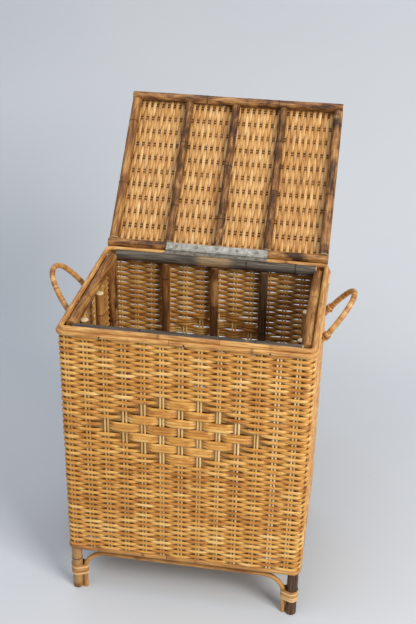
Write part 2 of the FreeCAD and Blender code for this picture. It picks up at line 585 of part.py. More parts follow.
def hingeScrews(name):
    """Round-headed screws standing on a leaf that lies below the axis, driven down through it."""
    seat = "(Dims.leafThickness - Dims.knuckleRadius)"
    screws = []
    for index, x in enumerate(screwPlaces()):
        head = rod(f"{name}Head{index}", "Dims.screwHeadRadius", "Dims.screwHeadHeight",
                   (x, "0 - Dims.screwReach", seat))
        shank = rod(f"{name}Shank{index}", "Dims.screwRadius", "Dims.screwLength",
                    (x, "0 - Dims.screwReach", f"{seat} - Dims.screwLength"))
        screws.append(fuse(f"{name}{index}", [head, shank]))
    return group(name, screws)


# Hinge: the body's leaf lies on the back rail, the lid's is the same leaf turned over.
atHinge = ("0", hingeY, hingeZ)
mirrorLeaf = FreeCAD.Rotation(FreeCAD.Vector(0, 1, 0), 180)
keep("hinge_leaf_body", place(hingeLeaf("BodyLeaf", 0), atHinge))
keep("hinge_screws_body", place(hingeScrews("BodyScrews"), atHinge))
keep("hinge_pin", rod("HingePin", "Dims.pinRadius", "Dims.hingeLength",
                      ("0 - Dims.hingeLength / 2", hingeY, hingeZ), alongX))
keep("hinge_leaf_lid", placeOnLid(hingeLeaf("LidLeaf", 0), turn=mirrorLeaf))
keep("hinge_screws_lid", placeOnLid(hingeScrews("LidScrews"), turn=mirrorLeaf))

# Rim nails, driven level through the lower rim cane into the top rails.
nails = []
nailRuns = (
    ("front", frontNailCount, "Dims.frontNailPitch", FreeCAD.Rotation(FreeCAD.Vector(1, 0, 0), -90)),
    ("back", frontNailCount, "Dims.frontNailPitch", FreeCAD.Rotation(FreeCAD.Vector(1, 0, 0), 90)),
    ("left", sideNailCount, "Dims.sideNailPitch", FreeCAD.Rotation(FreeCAD.Vector(0, 1, 0), 90)),
    ("right", sideNailCount, "Dims.sideNailPitch", FreeCAD.Rotation(FreeCAD.Vector(0, 1, 0), -90)),
)
for wall, count, pitch, turn in nailRuns:
    for index in range(count):
        along = f"{index - (count - 1) / 2} * {pitch}"
        faceX = "(Dims.rimWidth / 2 + Dims.nailProud)"
        faceY = "(Dims.rimDepth / 2 + Dims.nailProud)"
        at = {
            "front": (along, f"0 - {faceY}", lowerCaneZ),
            "back": (along, faceY, lowerCaneZ),
            "left": (f"0 - {faceX}", along, lowerCaneZ),
            "right": (faceX, along, lowerCaneZ),
        }[wall]
        nails.append(fuse(f"Nail_{wall}{index}", [
            rod(f"NailHead_{wall}{index}", "Dims.nailHeadRadius", "Dims.nailHeadHeight", at, turn),
            rod(f"NailShank_{wall}{index}", "Dims.nailRadius", "Dims.nailLength", at, turn),
        ]))
keep("rim_nails", group("RimNails", nails))

# Lid frame: full-width front and rear poles with side poles and ribs butted between them.
frontBar = rod("LidFrontPole", "Dims.crossPoleRadius", f"2 * {lidHalf}",
               (f"0 - {lidHalf}", frontPoleY, crossPoleZ), alongX, placeOnLid)
keep("lid_front_pole", frontBar)
rearBar = rod("LidRearBar", "Dims.crossPoleRadius", f"2 * {lidHalf}",
              (f"0 - {lidHalf}", rearPoleY, crossPoleZ), alongX)
poleAcross = "(2 * Dims.crossPoleRadius)"
leafRoom = box("LeafRoom", (roomStart, f"{rearPoleY} - {poleAcross}", f"0 - {poleAcross}"),
               (roomLength, f"2 * {poleAcross}", f"{poleAcross} + Dims.knuckleRadius"))
knuckleRoom = rod("KnuckleRoom", "Dims.knuckleRadius + 2 * Dims.fitGap", roomLength,
                  (roomStart, "0", "0"), alongX)
rearPole = cut("LidRearPole", rearBar, fuse("HingeRoom", [leafRoom, knuckleRoom]))
keep("lid_rear_pole", placeOnLid(rearPole))
for wall, x in (("left", f"0 - {lidPoleX}"), ("right", lidPoleX)):
    pole = rod(f"LidPole_{wall}", "Dims.sidePoleRadius", ribLength,
               (x, f"{ribBack} - {ribLength}", sidePoleZ), alongY, placeOnLid)
    keep(f"lid_{wall}_pole", pole)
for index in range(ribCount):
    x = f"{index - (ribCount - 1) / 2} * Dims.frontPostPitch"
    at = (x, f"{ribBack} - {ribLength}", ribZ)
    rib = rod(f"LidRib{index}", "Dims.ribRadius", ribLength, at, alongY, placeOnLid)
    keep(f"lid_rib_{index + 1}", rib)

# Lid covering: a woven panel on top of the poles, edged with a bent cane.
panelX = f"({lidCaneX} - Dims.lidCaneRadius - Dims.fitGap)"
panelRear = f"({lidCaneBack} - Dims.lidCaneRadius - Dims.fitGap)"
panelFront = f"({lidCaneFront} + Dims.lidCaneRadius + Dims.fitGap)"
panel = box("LidPanel", (f"0 - {panelX}", panelFront, f"{poleTop} + Dims.fitGap"),
            (f"2 * {panelX}", f"{panelRear} - {panelFront}", "Dims.lidPanelThickness"))
cutHeight = f"({poleTop} + Dims.fitGap + 2 * Dims.lidPanelThickness)"
cornerRoom = []
for sideX in (-1, 1):
    for end, y in (("rear", panelRear), ("front", panelFront)):
        cornerRoom.append(box(
            f"PanelCorner_{end}{sideX}",
            (f"{sign(sideX)}{panelX} - Dims.lidCaneCorner / 2", f"{y} - Dims.lidCaneCorner / 2", "0"),
            ("Dims.lidCaneCorner", "Dims.lidCaneCorner", cutHeight)))
keep("lid_panel", placeOnLid(cut("LidPanelCut", panel, fuse("PanelCorners", cornerRoom))))
keep("lid_edge_cane", placeOnLid(caneLoop(
    "LidCane", lidCaneX, lidCaneBack, lidCaneFront, lidCaneZ,
    "Dims.lidCaneCorner", "Dims.lidCaneCorner", "Dims.lidCaneRadius")))

doc.recompute()
for item in doc.Objects:
    if "Invalid" in item.State or "Error" in item.State:
        raise RuntimeError(f"{item.Label} failed to build: {item.State}")
os.makedirs("parts", exist_ok=True)
for piece in subParts:
    if piece.Shape.isNull() or not piece.Shape.isValid():
        raise RuntimeError(f"{piece.Label} has no valid shape")
    piece.Shape.exportStep(f"parts/{piece.Label}.step")
print(f"{len(subParts)} sub-parts written")
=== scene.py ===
import json
import math
import random

import bpy
import numpy as np
from mathutils import Matrix, Vector


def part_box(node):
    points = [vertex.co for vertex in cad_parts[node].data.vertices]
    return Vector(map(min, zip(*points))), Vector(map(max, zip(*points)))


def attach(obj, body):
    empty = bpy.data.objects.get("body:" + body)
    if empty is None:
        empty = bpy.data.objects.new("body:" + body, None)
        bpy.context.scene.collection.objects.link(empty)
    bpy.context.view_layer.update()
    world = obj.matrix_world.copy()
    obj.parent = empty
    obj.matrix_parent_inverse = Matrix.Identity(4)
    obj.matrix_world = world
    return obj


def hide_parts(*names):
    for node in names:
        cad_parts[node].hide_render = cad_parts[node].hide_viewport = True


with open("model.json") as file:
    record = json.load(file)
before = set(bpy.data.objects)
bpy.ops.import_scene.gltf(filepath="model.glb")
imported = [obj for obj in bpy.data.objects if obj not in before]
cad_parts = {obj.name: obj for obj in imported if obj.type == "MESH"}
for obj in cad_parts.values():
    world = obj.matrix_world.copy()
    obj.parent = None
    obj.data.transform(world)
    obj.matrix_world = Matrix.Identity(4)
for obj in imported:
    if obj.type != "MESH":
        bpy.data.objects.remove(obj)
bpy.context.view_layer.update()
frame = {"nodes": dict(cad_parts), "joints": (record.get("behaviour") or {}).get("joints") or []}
nodes = frame["nodes"]
bpy.ops.object.select_all(action="DESELECT")
mm = 0.001
caneFit = 0.985          # canes and poles are drawn this much of their CAD width
caneCrease = 50          # degrees: sharper edges than this stay sharp
windingCrease = 60
grainSpread = 9          # metres: each cane takes its grain from its own place in the pattern
scrapedShare = 0.75      # how much of the scraped colour shows where bark is gone


# small helpers
def linear(hexColour):
    # sRGB hex to the linear colour that shaders take
    def channel(value):
        return value / 12.92 if value <= 0.04045 else ((value + 0.055) / 1.055) ** 2.4
    return tuple(channel(int(hexColour[i:i + 2], 16) / 255) for i in (1, 3, 5)) + (1.0,)


def addNode(tree, kind, values=None, links=None, stops=None, **settings):
    made = tree.nodes.new("ShaderNode" + kind)
    for name, value in settings.items():
        setattr(made, name, value)
    for name, value in (values or {}).items():
        made.inputs[name].default_value = value
    for name, source in (links or {}).items():
        tree.links.new(source, made.inputs[name])
    for index, (place, hexColour) in enumerate(stops or ()):
        ramp = made.color_ramp
        stop = ramp.elements[index] if index < 2 else ramp.elements.new(place)
        stop.position = place
        stop.color = linear(hexColour)
    return made


def newMaterial(name, roughness, **sockets):
    material = bpy.data.materials.new(name)
    material.use_nodes = True
    shader = material.node_tree.nodes["Principled BSDF"]
    shader.inputs["Roughness"].default_value = roughness
    for socket, value in sockets.items():
        shader.inputs[socket.replace("_", " ")].default_value = value
    return material, material.node_tree, shader


def only(*pieces):
    # selects just these objects, the first one active
    bpy.ops.object.select_all(action="DESELECT")
    for piece in pieces:
        piece.select_set(True)
    bpy.context.view_layer.objects.active = pieces[0]
    return pieces[0]


def joined(pieces, name):
    only(*pieces)
    if len(pieces) > 1:
        bpy.ops.object.join()
    whole = bpy.context.view_layer.objects.active
    whole.name = name
    whole.data.name = name
    return whole


def applied(piece, matrix):
    # moves a finished mesh to its place and leaves the object at the origin
    piece.data.transform(matrix @ piece.matrix_world)
    piece.matrix_world = Matrix.Identity(4)
    return piece


def smoothed(piece, degrees):
    only(piece)
    bpy.ops.object.shade_smooth_by_angle(angle=math.radians(degrees))
    return piece


def finished(piece, material, body, stands=()):
    piece.data.materials.clear()
    piece.data.materials.append(material)
    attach(piece, body)
    if stands:
        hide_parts(*stands)
    return piece


def middle(node):
    low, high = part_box(node)
    return (low + high) / 2


# The closed lid's own frame: origin on the hinge axis, its front towards -Y.
lidOpen = math.radians(frame["joints"][0]["range_deg"][1])
lidPlace = Matrix.Translation(middle("hinge_pin")) @ Matrix.Rotation(-lidOpen, 4, "X")
lidHome = lidPlace.inverted()
noTurn = Matrix.Identity(4)


def placeOf(body):
    return lidPlace if body == "lid" else noTurn


def lidBox(node):
    points = [lidHome @ v.co for v in nodes[node].data.vertices]
    low = Vector([min(p[i] for p in points) for i in range(3)])
    high = Vector([max(p[i] for p in points) for i in range(3)])
    return low, high


def homeBox(node, body):
    return lidBox(node) if body == "lid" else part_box(node)


# Rattan finishes. A look gives the size of the fine fibres and of the blotches across the cane, how
# far each is drawn out along it, and four colours from bare cane to bark.
def rattan(name, look, turn=None):
    # long fine fibres, smoke and bark blotches, dark growth rings, and painted shade in crevices
    material, tree, shader = newMaterial(name, look["roughness"], IOR=1.5)
    shader.inputs["Specular IOR Level"].default_value = look.get("gloss", 0.4)
    if turn is None:
        space = addNode(tree, "Attribute", attribute_name="grain").outputs["Vector"]
    else:
        coords = addNode(tree, "TexCoord")
        turned = addNode(tree, "Mapping", {"Rotation": turn}, {"Vector": coords.outputs["Object"]})
        space = turned.outputs["Vector"]
    streakSpace = addNode(tree, "Mapping", {"Scale": (1, 1, look["streakStretch"])}, {"Vector": space})
    streak = addNode(tree, "TexNoise", {"Scale": 1 / look["streak"], "Detail": 3.0, "Roughness": 0.6},
                     {"Vector": streakSpace.outputs[0]})
    blotchSpace = addNode(tree, "Mapping", {"Scale": (1, 1, look["blotchStretch"])}, {"Vector": space})
    blotch = addNode(tree, "TexNoise", {"Scale": 1 / look["blotch"], "Detail": 4.0, "Roughness": 0.65,
                                        "Distortion": 0.4}, {"Vector": blotchSpace.outputs[0]})
    fine = addNode(tree, "Math", {1: look["streakShare"]}, {0: streak.outputs["Fac"]}, operation="MULTIPLY")
    spread = addNode(tree, "Math", {1: 1 - look["streakShare"]},
                     {0: blotch.outputs["Fac"], 2: fine.outputs[0]}, operation="MULTIPLY_ADD")
    tone = addNode(tree, "Attribute", attribute_name="tone")
    toned = addNode(tree, "Math", {1: look.get("toneShare", 0.0)},
                    {0: tone.outputs["Fac"], 2: spread.outputs[0]}, operation="MULTIPLY_ADD")
    ramp = addNode(tree, "ValToRGB", links={"Fac": toned.outputs[0]}, stops=look["colours"])
    colour = ramp.outputs["Color"]
    # where the bark is scraped off, with a ragged edge
    bare = addNode(tree, "Attribute", attribute_name="bare")
    ragged = addNode(tree, "Math", links={0: bare.outputs["Fac"], 1: spread.outputs[0]}, operation="ADD")
    edge = addNode(tree, "MapRange", {"From Min": 0.92, "From Max": 1.08, "To Max": scrapedShare},
                   {"Value": ragged.outputs[0]})
    covers = [(edge.outputs[0], look.get("bare", "#c39a66"))]
    # the second cover here is painted shade: a darker colour in crevices and on the inner side of the weave
    for attribute, hexColour in (("ring", look["ring"]), ("paintedShade", look.get("paintedShade", "#3f2410")),
                                 ("cut", "#e9d6ae")):
        covers.append((addNode(tree, "Attribute", attribute_name=attribute).outputs["Fac"], hexColour))
    for factor, hexColour in covers:
        mixed = addNode(tree, "Mix", {7: linear(hexColour)}, {0: factor, 6: colour}, data_type="RGBA")
        colour = mixed.outputs[2]
    tree.links.new(colour, shader.inputs["Base Color"])
    rough = addNode(tree, "MapRange", {"From Min": 0.3, "From Max": 0.7, "To Min": look["roughness"] - 0.08,
                                       "To Max": look["roughness"] + 0.1}, {"Value": streak.outputs["Fac"]})
    tree.links.new(rough.outputs[0], shader.inputs["Roughness"])
    relief = {"Strength": look.get("bump", 0.35), "Distance": look.get("relief", 0.3 * mm)}
    bump = addNode(tree, "Bump", relief, {"Height": spread.outputs[0]})
    tree.links.new(bump.outputs[0], shader.inputs["Normal"])
    return material


# what the thin reeds and canes share, and what the poles share
reedLook = {"streak": 1.6 * mm, "streakStretch": 0.05, "blotch": 26 * mm, "blotchStretch": 0.35,
            "streakShare": 0.5, "ring": "#8a5a2c"}
poleLook = {"streak": 2 * mm, "streakStretch": 0.06, "bump": 0.5, "relief": 0.5 * mm}
looks = {
    # round core reed, woven damp and varnished: golden, a soft gloss on the crowns
    "wallReed": {**reedLook, "roughness": 0.42, "gloss": 0.5, "streak": 1.5 * mm, "streakStretch": 0.06,
                 "blotch": 13 * mm, "blotchStretch": 0.4, "toneShare": 0.28, "bump": 0.35,
                 # colour of the painted shade in the crevices and on the inner side
                 "paintedShade": "#4f2c10",
                 "colours": ((0.26, "#f3d08d"), (0.44, "#dca450"), (0.6, "#be7e34"), (0.79, "#7c4216"))},
    # flat reed of the lid, never varnished: matt and paler
    "lidReed": {**reedLook, "roughness": 0.52, "gloss": 0.3, "streak": 1.4 * mm, "blotch": 12 * mm,
                # colour of the painted shade in the crevices
                "toneShare": 0.24, "bump": 0.3, "paintedShade": "#3d2210",
                "colours": ((0.26, "#f0cd93"), (0.46, "#d3a263"), (0.62, "#b07a3e"), (0.82, "#6b3a1b"))},
    # upright stakes: peeled core, cream where the reeds leave it bare
    "stakeReed": {**reedLook, "roughness": 0.5, "gloss": 0.35, "toneShare": 0.3,
                  "colours": ((0.28, "#f0dab0"), (0.5, "#dab77a"), (0.7, "#b18146"), (0.88, "#7c4c22"))},
    # the lid's stakes: deep between the reeds, coloured dark brown for painted shade
    "lidStake": {**reedLook, "roughness": 0.6, "gloss": 0.25, "toneShare": 0.3, "ring": "#3a2212",
                 "colours": ((0.3, "#8d6538"), (0.5, "#5d3a1d"), (0.7, "#3a2212"), (0.88, "#24150c"))},
    # peeled rattan cane of the rim: tan, with a dull varnish
    "rimCane": {**reedLook, "roughness": 0.42, "gloss": 0.45, "blotchStretch": 0.25, "streakShare": 0.55,
                "toneShare": 0.2, "bump": 0.5, "ring": "#6b3f1c",
                "colours": ((0.28, "#efcc92"), (0.45, "#d5a45f"), (0.57, "#ab7439"), (0.74, "#653718"))},
    # base cane and braces: the same cane, left out in the weather and browner
    "braceCane": {**reedLook, "roughness": 0.45, "gloss": 0.45, "blotch": 24 * mm, "blotchStretch": 0.22,
                  "bump": 0.5, "ring": "#4d2a12",
                  "colours": ((0.3, "#dbb172"), (0.46, "#be8a4a"), (0.58, "#966230"), (0.76, "#563216"))},
    # split cane wound on wet: glossy skin, one strip lighter than the next
    "windingCane": {**reedLook, "roughness": 0.36, "gloss": 0.5, "streak": 1.2 * mm,
                    "streakStretch": 0.08, "blotch": 14 * mm, "blotchStretch": 0.4, "toneShare": 0.42,
                    # colour of the painted shade between the turns of the handle winding
                    "ring": "#8b5a30", "paintedShade": "#4a2a12",
                    "colours": ((0.28, "#dfb67c"), (0.48, "#bd8748"), (0.66, "#96602c"), (0.88, "#593214"))},
    # scraped rattan pole: tan with brown bark left along it
    "tanPole": {**poleLook, "roughness": 0.5, "gloss": 0.35, "streak": 2.2 * mm, "blotch": 16 * mm,
                "blotchStretch": 0.22, "streakShare": 0.42, "ring": "#55260f",
                "colours": ((0.32, "#caa066"), (0.45, "#a5753c"), (0.56, "#764a24"), (0.68, "#371f11"))},
    # smoke-stained pole: tan ground under dark, nearly black blobs
    "smokedPole": {**poleLook, "roughness": 0.48, "gloss": 0.4, "blotch": 15 * mm, "blotchStretch": 0.3,
                   "streakShare": 0.32, "ring": "#2f1a10", "bare": "#cfa877",
                   "colours": ((0.36, "#b98d55"), (0.47, "#936435"), (0.54, "#5b381d"), (0.62, "#211610"))},
    # lid rib: brown bark left on, finely mottled, with pale scuffs
    "barkPole": {**poleLook, "roughness": 0.55, "gloss": 0.32, "streakStretch": 0.07, "blotch": 10 * mm,
                 "blotchStretch": 0.32, "streakShare": 0.38, "bump": 0.6, "ring": "#2b1b14",
                 "bare": "#c09367",
                 "colours": ((0.34, "#b98c58"), (0.45, "#84592f"), (0.54, "#563619"), (0.66, "#241610"))},
    # brown pole with black streaks
    "russetPole": {**poleLook, "roughness": 0.48, "gloss": 0.4, "streakStretch": 0.05, "blotch": 15 * mm,
                   "blotchStretch": 0.2, "streakShare": 0.45, "ring": "#26140c", "bare": "#bb8a55",
                   "colours": ((0.32, "#a87540"), (0.44, "#7e5129"), (0.54, "#50311a"), (0.66, "#1d130c"))},
    # weathered pole: grey, long cracks, nearly black in places
    "greyPole": {**poleLook, "roughness": 0.62, "gloss": 0.28, "streak": 1.7 * mm, "streakStretch": 0.03,
                 "blotch": 30 * mm, "blotchStretch": 0.15, "streakShare": 0.6, "bump": 0.6,
                 "ring": "#241c17", "bare": "#b59267",
                 "colours": ((0.34, "#7f7565"), (0.46, "#575047"), (0.56, "#3a342e"), (0.7, "#1b1815"))},
    # dark leg: brown-black bark
    "darkPole": {**poleLook, "roughness": 0.55, "gloss": 0.32, "streak": 1.8 * mm, "streakStretch": 0.04,
                 "blotch": 26 * mm, "blotchStretch": 0.18, "streakShare": 0.5, "bump": 0.55,
                 "ring": "#1f150f", "bare": "#b48654",
                 "colours": ((0.34, "#8f6c4a"), (0.46, "#61452f"), (0.56, "#402e22"), (0.7, "#1f1612"))},
}
growthRing = {"caneReach": 1.4 * mm, "caneDark": 0.85,
              "poleReach": 1.3 * mm, "poleDark": 0.9, "poleDrop": 0.3 * mm}
finish = {name: rattan(name[:-4] + "_rattan_" + name[-4:].lower(), look) for name, look in looks.items()}
print("rattan finishes made")


# Tubes along a route
def profile(name, width, height, sides):
    # closed oval section; its height stands up along a level route
    curve = bpy.data.curves.new(name, "CURVE")
    curve.dimensions = "2D"
    spline = curve.splines.new("POLY")
    spline.points.add(sides - 1)
    spline.use_cyclic_u = True
    for index, point in enumerate(spline.points):
        angle = 2 * math.pi * (index + 0.5) / sides
        point.co = (width / 2 * math.cos(angle), height / 2 * math.sin(angle), 0, 1)
    holder = bpy.data.objects.new(name, curve)
    bpy.context.scene.collection.objects.link(holder)
    return holder


def route(name, points, section, cyclic=False, swell=None, level=True):
    curve = bpy.data.curves.new(name, "CURVE")
    curve.dimensions = "3D"
    curve.bevel_mode = "OBJECT"
    curve.bevel_object = section
    curve.use_fill_caps = True
    curve.twist_mode = "Z_UP" if level else "MINIMUM"
    spline = curve.splines.new("POLY")
    spline.points.add(len(points) - 1)
    spline.use_cyclic_u = cyclic
    spline.points.foreach_set("co", np.array([(*p, 1.0) for p in points], np.float32).ravel())
    if swell is not None:
        spline.points.foreach_set("radius", np.array(swell, np.float32))
    made = bpy.data.objects.new(name, curve)
    bpy.context.scene.collection.objects.link(made)
    made["route"] = [float(c) for p in points for c in p]
    return made


def addAttribute(piece, name, kind, values):
    attribute = piece.data.attributes.new(name, kind, "POINT")
    attribute.data.foreach_set("vector" if kind == "FLOAT_VECTOR" else "value",
                               np.asarray(values, np.float32).ravel())


def vertexPlaces(piece):
    places = np.zeros(len(piece.data.vertices) * 3, np.float32)
    piece.data.vertices.foreach_get("co", places)
    return places.reshape(-1, 3)


def tubes(routes, tones, seed, rings=None):
    # turns the curves into meshes that carry their grain, tone and growth rings
    dice = random.Random(seed)
    only(*routes)
    bpy.ops.object.convert(target="MESH")
    for index, piece in enumerate(routes):
        path = np.array(piece["route"]).reshape(-1, 3)
        steps = np.linalg.norm(np.diff(path, axis=0), axis=1)
        along = np.concatenate(([0.0], np.cumsum(steps)))
        places = vertexPlaces(piece)
        nearest = ((places[:, None, :] - path[None, :, :]) ** 2).sum(2).argmin(1)
        offset = places - path[nearest]
        shift = [dice.uniform(0, grainSpread) for _ in range(3)]
        grain = np.stack([offset[:, 0] + offset[:, 1] + shift[0], offset[:, 2] + shift[1],
                          along[nearest] + shift[2]], 1)
        addAttribute(piece, "grain", "FLOAT_VECTOR", grain)
        tone = tones[index]
        addAttribute(piece, "tone", "FLOAT",
                     tone[nearest] if isinstance(tone, np.ndarray) else np.full(len(places), tone))
        ring = np.zeros(len(places))
        for place in (rings[index] if rings else ()):
            ring = np.maximum(ring, np.exp(-((along[nearest] - place) / growthRing["caneReach"]) ** 2))
        addAttribute(piece, "ring", "FLOAT", ring * growthRing["caneDark"])
        del piece["route"]
    return routes


def tidyMesh(piece):
    # welds the end caps on and points every face outwards
    only(piece)
    bpy.ops.object.mode_set(mode="EDIT")
    bpy.ops.mesh.select_all(action="SELECT")
    bpy.ops.mesh.remove_doubles(threshold=1e-6)
    bpy.ops.mesh.normals_make_consistent(inside=False)
    bpy.ops.object.mode_set(mode="OBJECT")
    return smoothed(piece, caneCrease)


def withGrain(piece, seed, tone=0.0):
    # keeps the modelling coordinates, Z along the cane, for the finish to follow
    dice = random.Random(seed)
    places = vertexPlaces(piece)
    shift = np.array([dice.uniform(0, grainSpread) for _ in range(3)])
    addAttribute(piece, "grain", "FLOAT_VECTOR", places + shift)
    addAttribute(piece, "tone", "FLOAT", np.full(len(places), tone))
    return piece


def loopAround(halfX, backY, frontY, bend):
    # a rounded rectangle, walked from the front's middle towards +X: its length, and a function that
    # gives the point and the outward direction at a distance along it
    innerX = halfX - bend
    innerBack = backY - bend
    innerFront = frontY + bend
    quarter = math.pi / 2 * bend
    sides = innerBack - innerFront
    legs = (
        (innerX, Vector((0, frontY, 0)), Vector((1, 0, 0)), None),
        (quarter, Vector((innerX, innerFront, 0)), None, -90),
        (sides, Vector((halfX, innerFront, 0)), Vector((0, 1, 0)), None),
        (quarter, Vector((innerX, innerBack, 0)), None, 0),
        (2 * innerX, Vector((innerX, backY, 0)), Vector((-1, 0, 0)), None),
        (quarter, Vector((-innerX, innerBack, 0)), None, 90),
        (sides, Vector((-halfX, innerBack, 0)), Vector((0, -1, 0)), None),
        (quarter, Vector((-innerX, innerFront, 0)), None, 180),
        (innerX, Vector((-innerX, frontY, 0)), Vector((1, 0, 0)), None),
    )
    total = sum(leg[0] for leg in legs)

    def at(along):
        along = along % total
        for length, start, forward, startAngle in legs:
            if along <= length:
                break
            along -= length
        if forward is None:
            angle = math.radians(startAngle) + along / bend
            out = Vector((math.cos(angle), math.sin(angle), 0))
            return start + out * bend, out
        return start + forward * along, Vector((forward.y, -forward.x, 0))

    return total, at


# Woven walls
weave = {
    "stakes": 46,               # pairs of stakes round the basket
    "firstStake": -6 * mm,      # a pair stands this far from the front's middle
    "pairSpacing": 5.6 * mm,
    "stakeWidth": 3.9 * mm,
    "stakeThickness": 3.2 * mm,
    "rowsBelow": 39,
    "rowsAbove": 20,
    "bundles": 7,
    "bundleReeds": 3,
    "bundlesLow": 323.8 * mm,   # the diamond's lowest and highest edges
    "bundlesHigh": 454.0 * mm,
    "bundleSpread": 5.7 * mm,   # between the reeds of a floating bundle
    "reedHold": 0.2,            # share of the way to the next stakes that a reed stays outside for
    "bundleHold": 0.42,
    "bundleFade": 1.5,          # a bundle opens out again within this many stakes of the diamond
    "bundleLevel": 0.8,         # how much of a row's unevenness a bundle presses flat
    "sides": 8,
    "stakeUneven": 0.4 * mm,
    "stakeTone": 0.5,
    "reedThickness": 4.2 * mm,
    "reedOverlap": 0.1 * mm,
    "plump": 0.14,              # how much fuller a reed is over a stake than between two
    "bulge": 2.5 * mm,          # a reed's centre stands off the wall's middle by this
    "stepsPerStake": 10,
    "unevenHeight": 0.55 * mm,
    "unevenBulge": 0.4 * mm,
    "rowTone": 0.2,
    "reedTone": 0.32,
    "crevice": 1.0 * mm,        # the painted shade reaches this far from the wall's middle
    "creviceShade": 0.7,
    "insideShade": 0.3,          # painted shade: the side towards the laundry is coloured browner for the shade inside the basket
}
wallDice = random.Random(11)    # for the stakes; each row of reeds has its own
leftLow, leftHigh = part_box("weave_left")
postMiddle = middle("corner_post_back_right")
cornerX = postMiddle.x
cornerY = postMiddle.y
wallMidX = -(leftLow.x + (leftHigh.x - leftLow.x) / 2)
cornerBend = wallMidX - cornerX
wallMidY = cornerY + cornerBend
weaveLow = leftLow.z
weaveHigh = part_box("rim_cane_lower")[0].z
quarter = math.pi / 2 * cornerBend
loopLength, loopPoint = loopAround(wallMidX, wallMidY, -wallMidY, cornerBend)
stakePitch = loopLength / weave["stakes"]

rows = []    # height, pitch, bundle number or None, place in the bundle
bandLow = (weave["bundlesLow"] - weaveLow) / weave["rowsBelow"]
bandHigh = (weaveHigh - weave["bundlesHigh"]) / weave["rowsAbove"]
bundleRows = weave["bundles"] * weave["bundleReeds"]
bandMid = (weave["bundlesHigh"] - weave["bundlesLow"]) / bundleRows
for index in range(weave["rowsBelow"]):
    rows.append((weaveLow + (index + 0.5) * bandLow, bandLow, None, 0))
for index in range(bundleRows):
    rows.append((weave["bundlesLow"] + (index + 0.5) * bandMid, bandMid, index // weave["bundleReeds"],
                 index % weave["bundleReeds"] - 1))
for index in range(weave["rowsAbove"]):
    rows.append((weave["bundlesHigh"] + (index + 0.5) * bandHigh, bandHigh, None, 0))


def bundleReach(bundle):
    # how many stakes the diamond reaches to each side of its middle at this bundle
    return weave["bundles"] // 2 - abs(bundle - weave["bundles"] // 2)


def passesOutside(row, stake, bundle):
    # +1 where a reed passes outside a pair of stakes, -1 where it passes inside
    plain = 1 if (row + stake + weave["rowsBelow"]) % 2 else -1
    if bundle is None:
        return plain
    half = weave["stakes"] // 2
    offset = min(abs(stake), abs(stake - half), abs(stake - 2 * half), key=abs)
    if offset > bundleReach(bundle) + 1:
        return plain
    return 1 if (offset + bundleReach(bundle)) % 2 == 0 and offset <= bundleReach(bundle) else -1


def reedPoint(row, spot, lifts, pushes):
    # a reed's point at this distance round the walls, how full it is there, and the nearer stake
    height, pitch, bundle, inBundle = rows[row]
    place = (spot - weave["firstStake"]) / stakePitch
    stake = math.floor(place)
    part = place - stake
    closed = 0.0
    hold = weave["reedHold"]
    sides = [passesOutside(row, near % weave["stakes"], bundle) for near in (stake, stake + 1)]
    if bundle is not None:
        half = weave["stakes"] / 2
        away = min(abs(place), abs(place - half), abs(place - 2 * half), abs(place + half))
        closed = min(1.0, max(0.0, bundleReach(bundle) + weave["bundleFade"] - away))
        hold += (weave["bundleHold"] - hold) * closed
    if sides[0] > sides[1]:
        part = max(0.0, (part - hold) / (1 - hold))
    elif sides[1] > sides[0]:
        part = min(1.0, part / (1 - hold))
    blend = (1 - math.cos(math.pi * part)) / 2
    ends = []
    for near, side in zip((stake, stake + 1), sides):
        wrapped = near % weave["stakes"]
        ends.append((side * (weave["bulge"] + pushes[wrapped] * (side > 0)), lifts[wrapped]))
    outward = ends[0][0] * (1 - blend) + ends[1][0] * blend
    rise = ends[0][1] * (1 - blend) + ends[1][1] * blend
    # reeds of a bundle lie level and close together inside the diamond and spread again outside it
    rise = rise * (1 - weave["bundleLevel"] * closed) - inBundle * (pitch - weave["bundleSpread"]) * closed
    point, out = loopPoint(spot)
    full = 1 + weave["plump"] * abs(outward) / weave["bulge"] * (1 - closed)
    return point + out * outward + Vector((0, 0, height + rise)), pitch / bandMid * full, round(place)


def wallRoutes(wall, start, length):
    # one curve per row, over this stretch of the loop, and the tone of each of its points
    made = []
    tones = []
    count = max(2, round(length / stakePitch * weave["stepsPerStake"]))
    for row in range(len(rows)):
        rowDice = random.Random(1000 + row)
        lifts = [rowDice.uniform(-1, 1) * weave["unevenHeight"] for _ in range(weave["stakes"])]
        pushes = [rowDice.uniform(-1, 1) * weave["unevenBulge"] for _ in range(weave["stakes"])]
        shades = [rowDice.uniform(-1, 1) * weave["reedTone"] for _ in range(weave["stakes"])]
        rowTone = rowDice.uniform(-1, 1) * weave["rowTone"]
        walked = [reedPoint(row, start + length * i / count, lifts, pushes) for i in range(count + 1)]
        made.append(route(f"{wall}Reed{row}", [w[0] for w in walked], reedSection,
                          swell=[w[1] for w in walked]))
        tones.append(np.array([rowTone + shades[w[2] % weave["stakes"]] for w in walked]))
    return made, tones


def paintCreviceShade(piece, distance, reach, strength, everywhere=0.0):
    # painted shade: a darker colour at the bottom of the crevices, and at least the given amount everywhere
    # else
    paintedShade = strength * np.exp(-(distance / reach) ** 2)
    addAttribute(piece, "paintedShade", "FLOAT", np.maximum(paintedShade, everywhere))


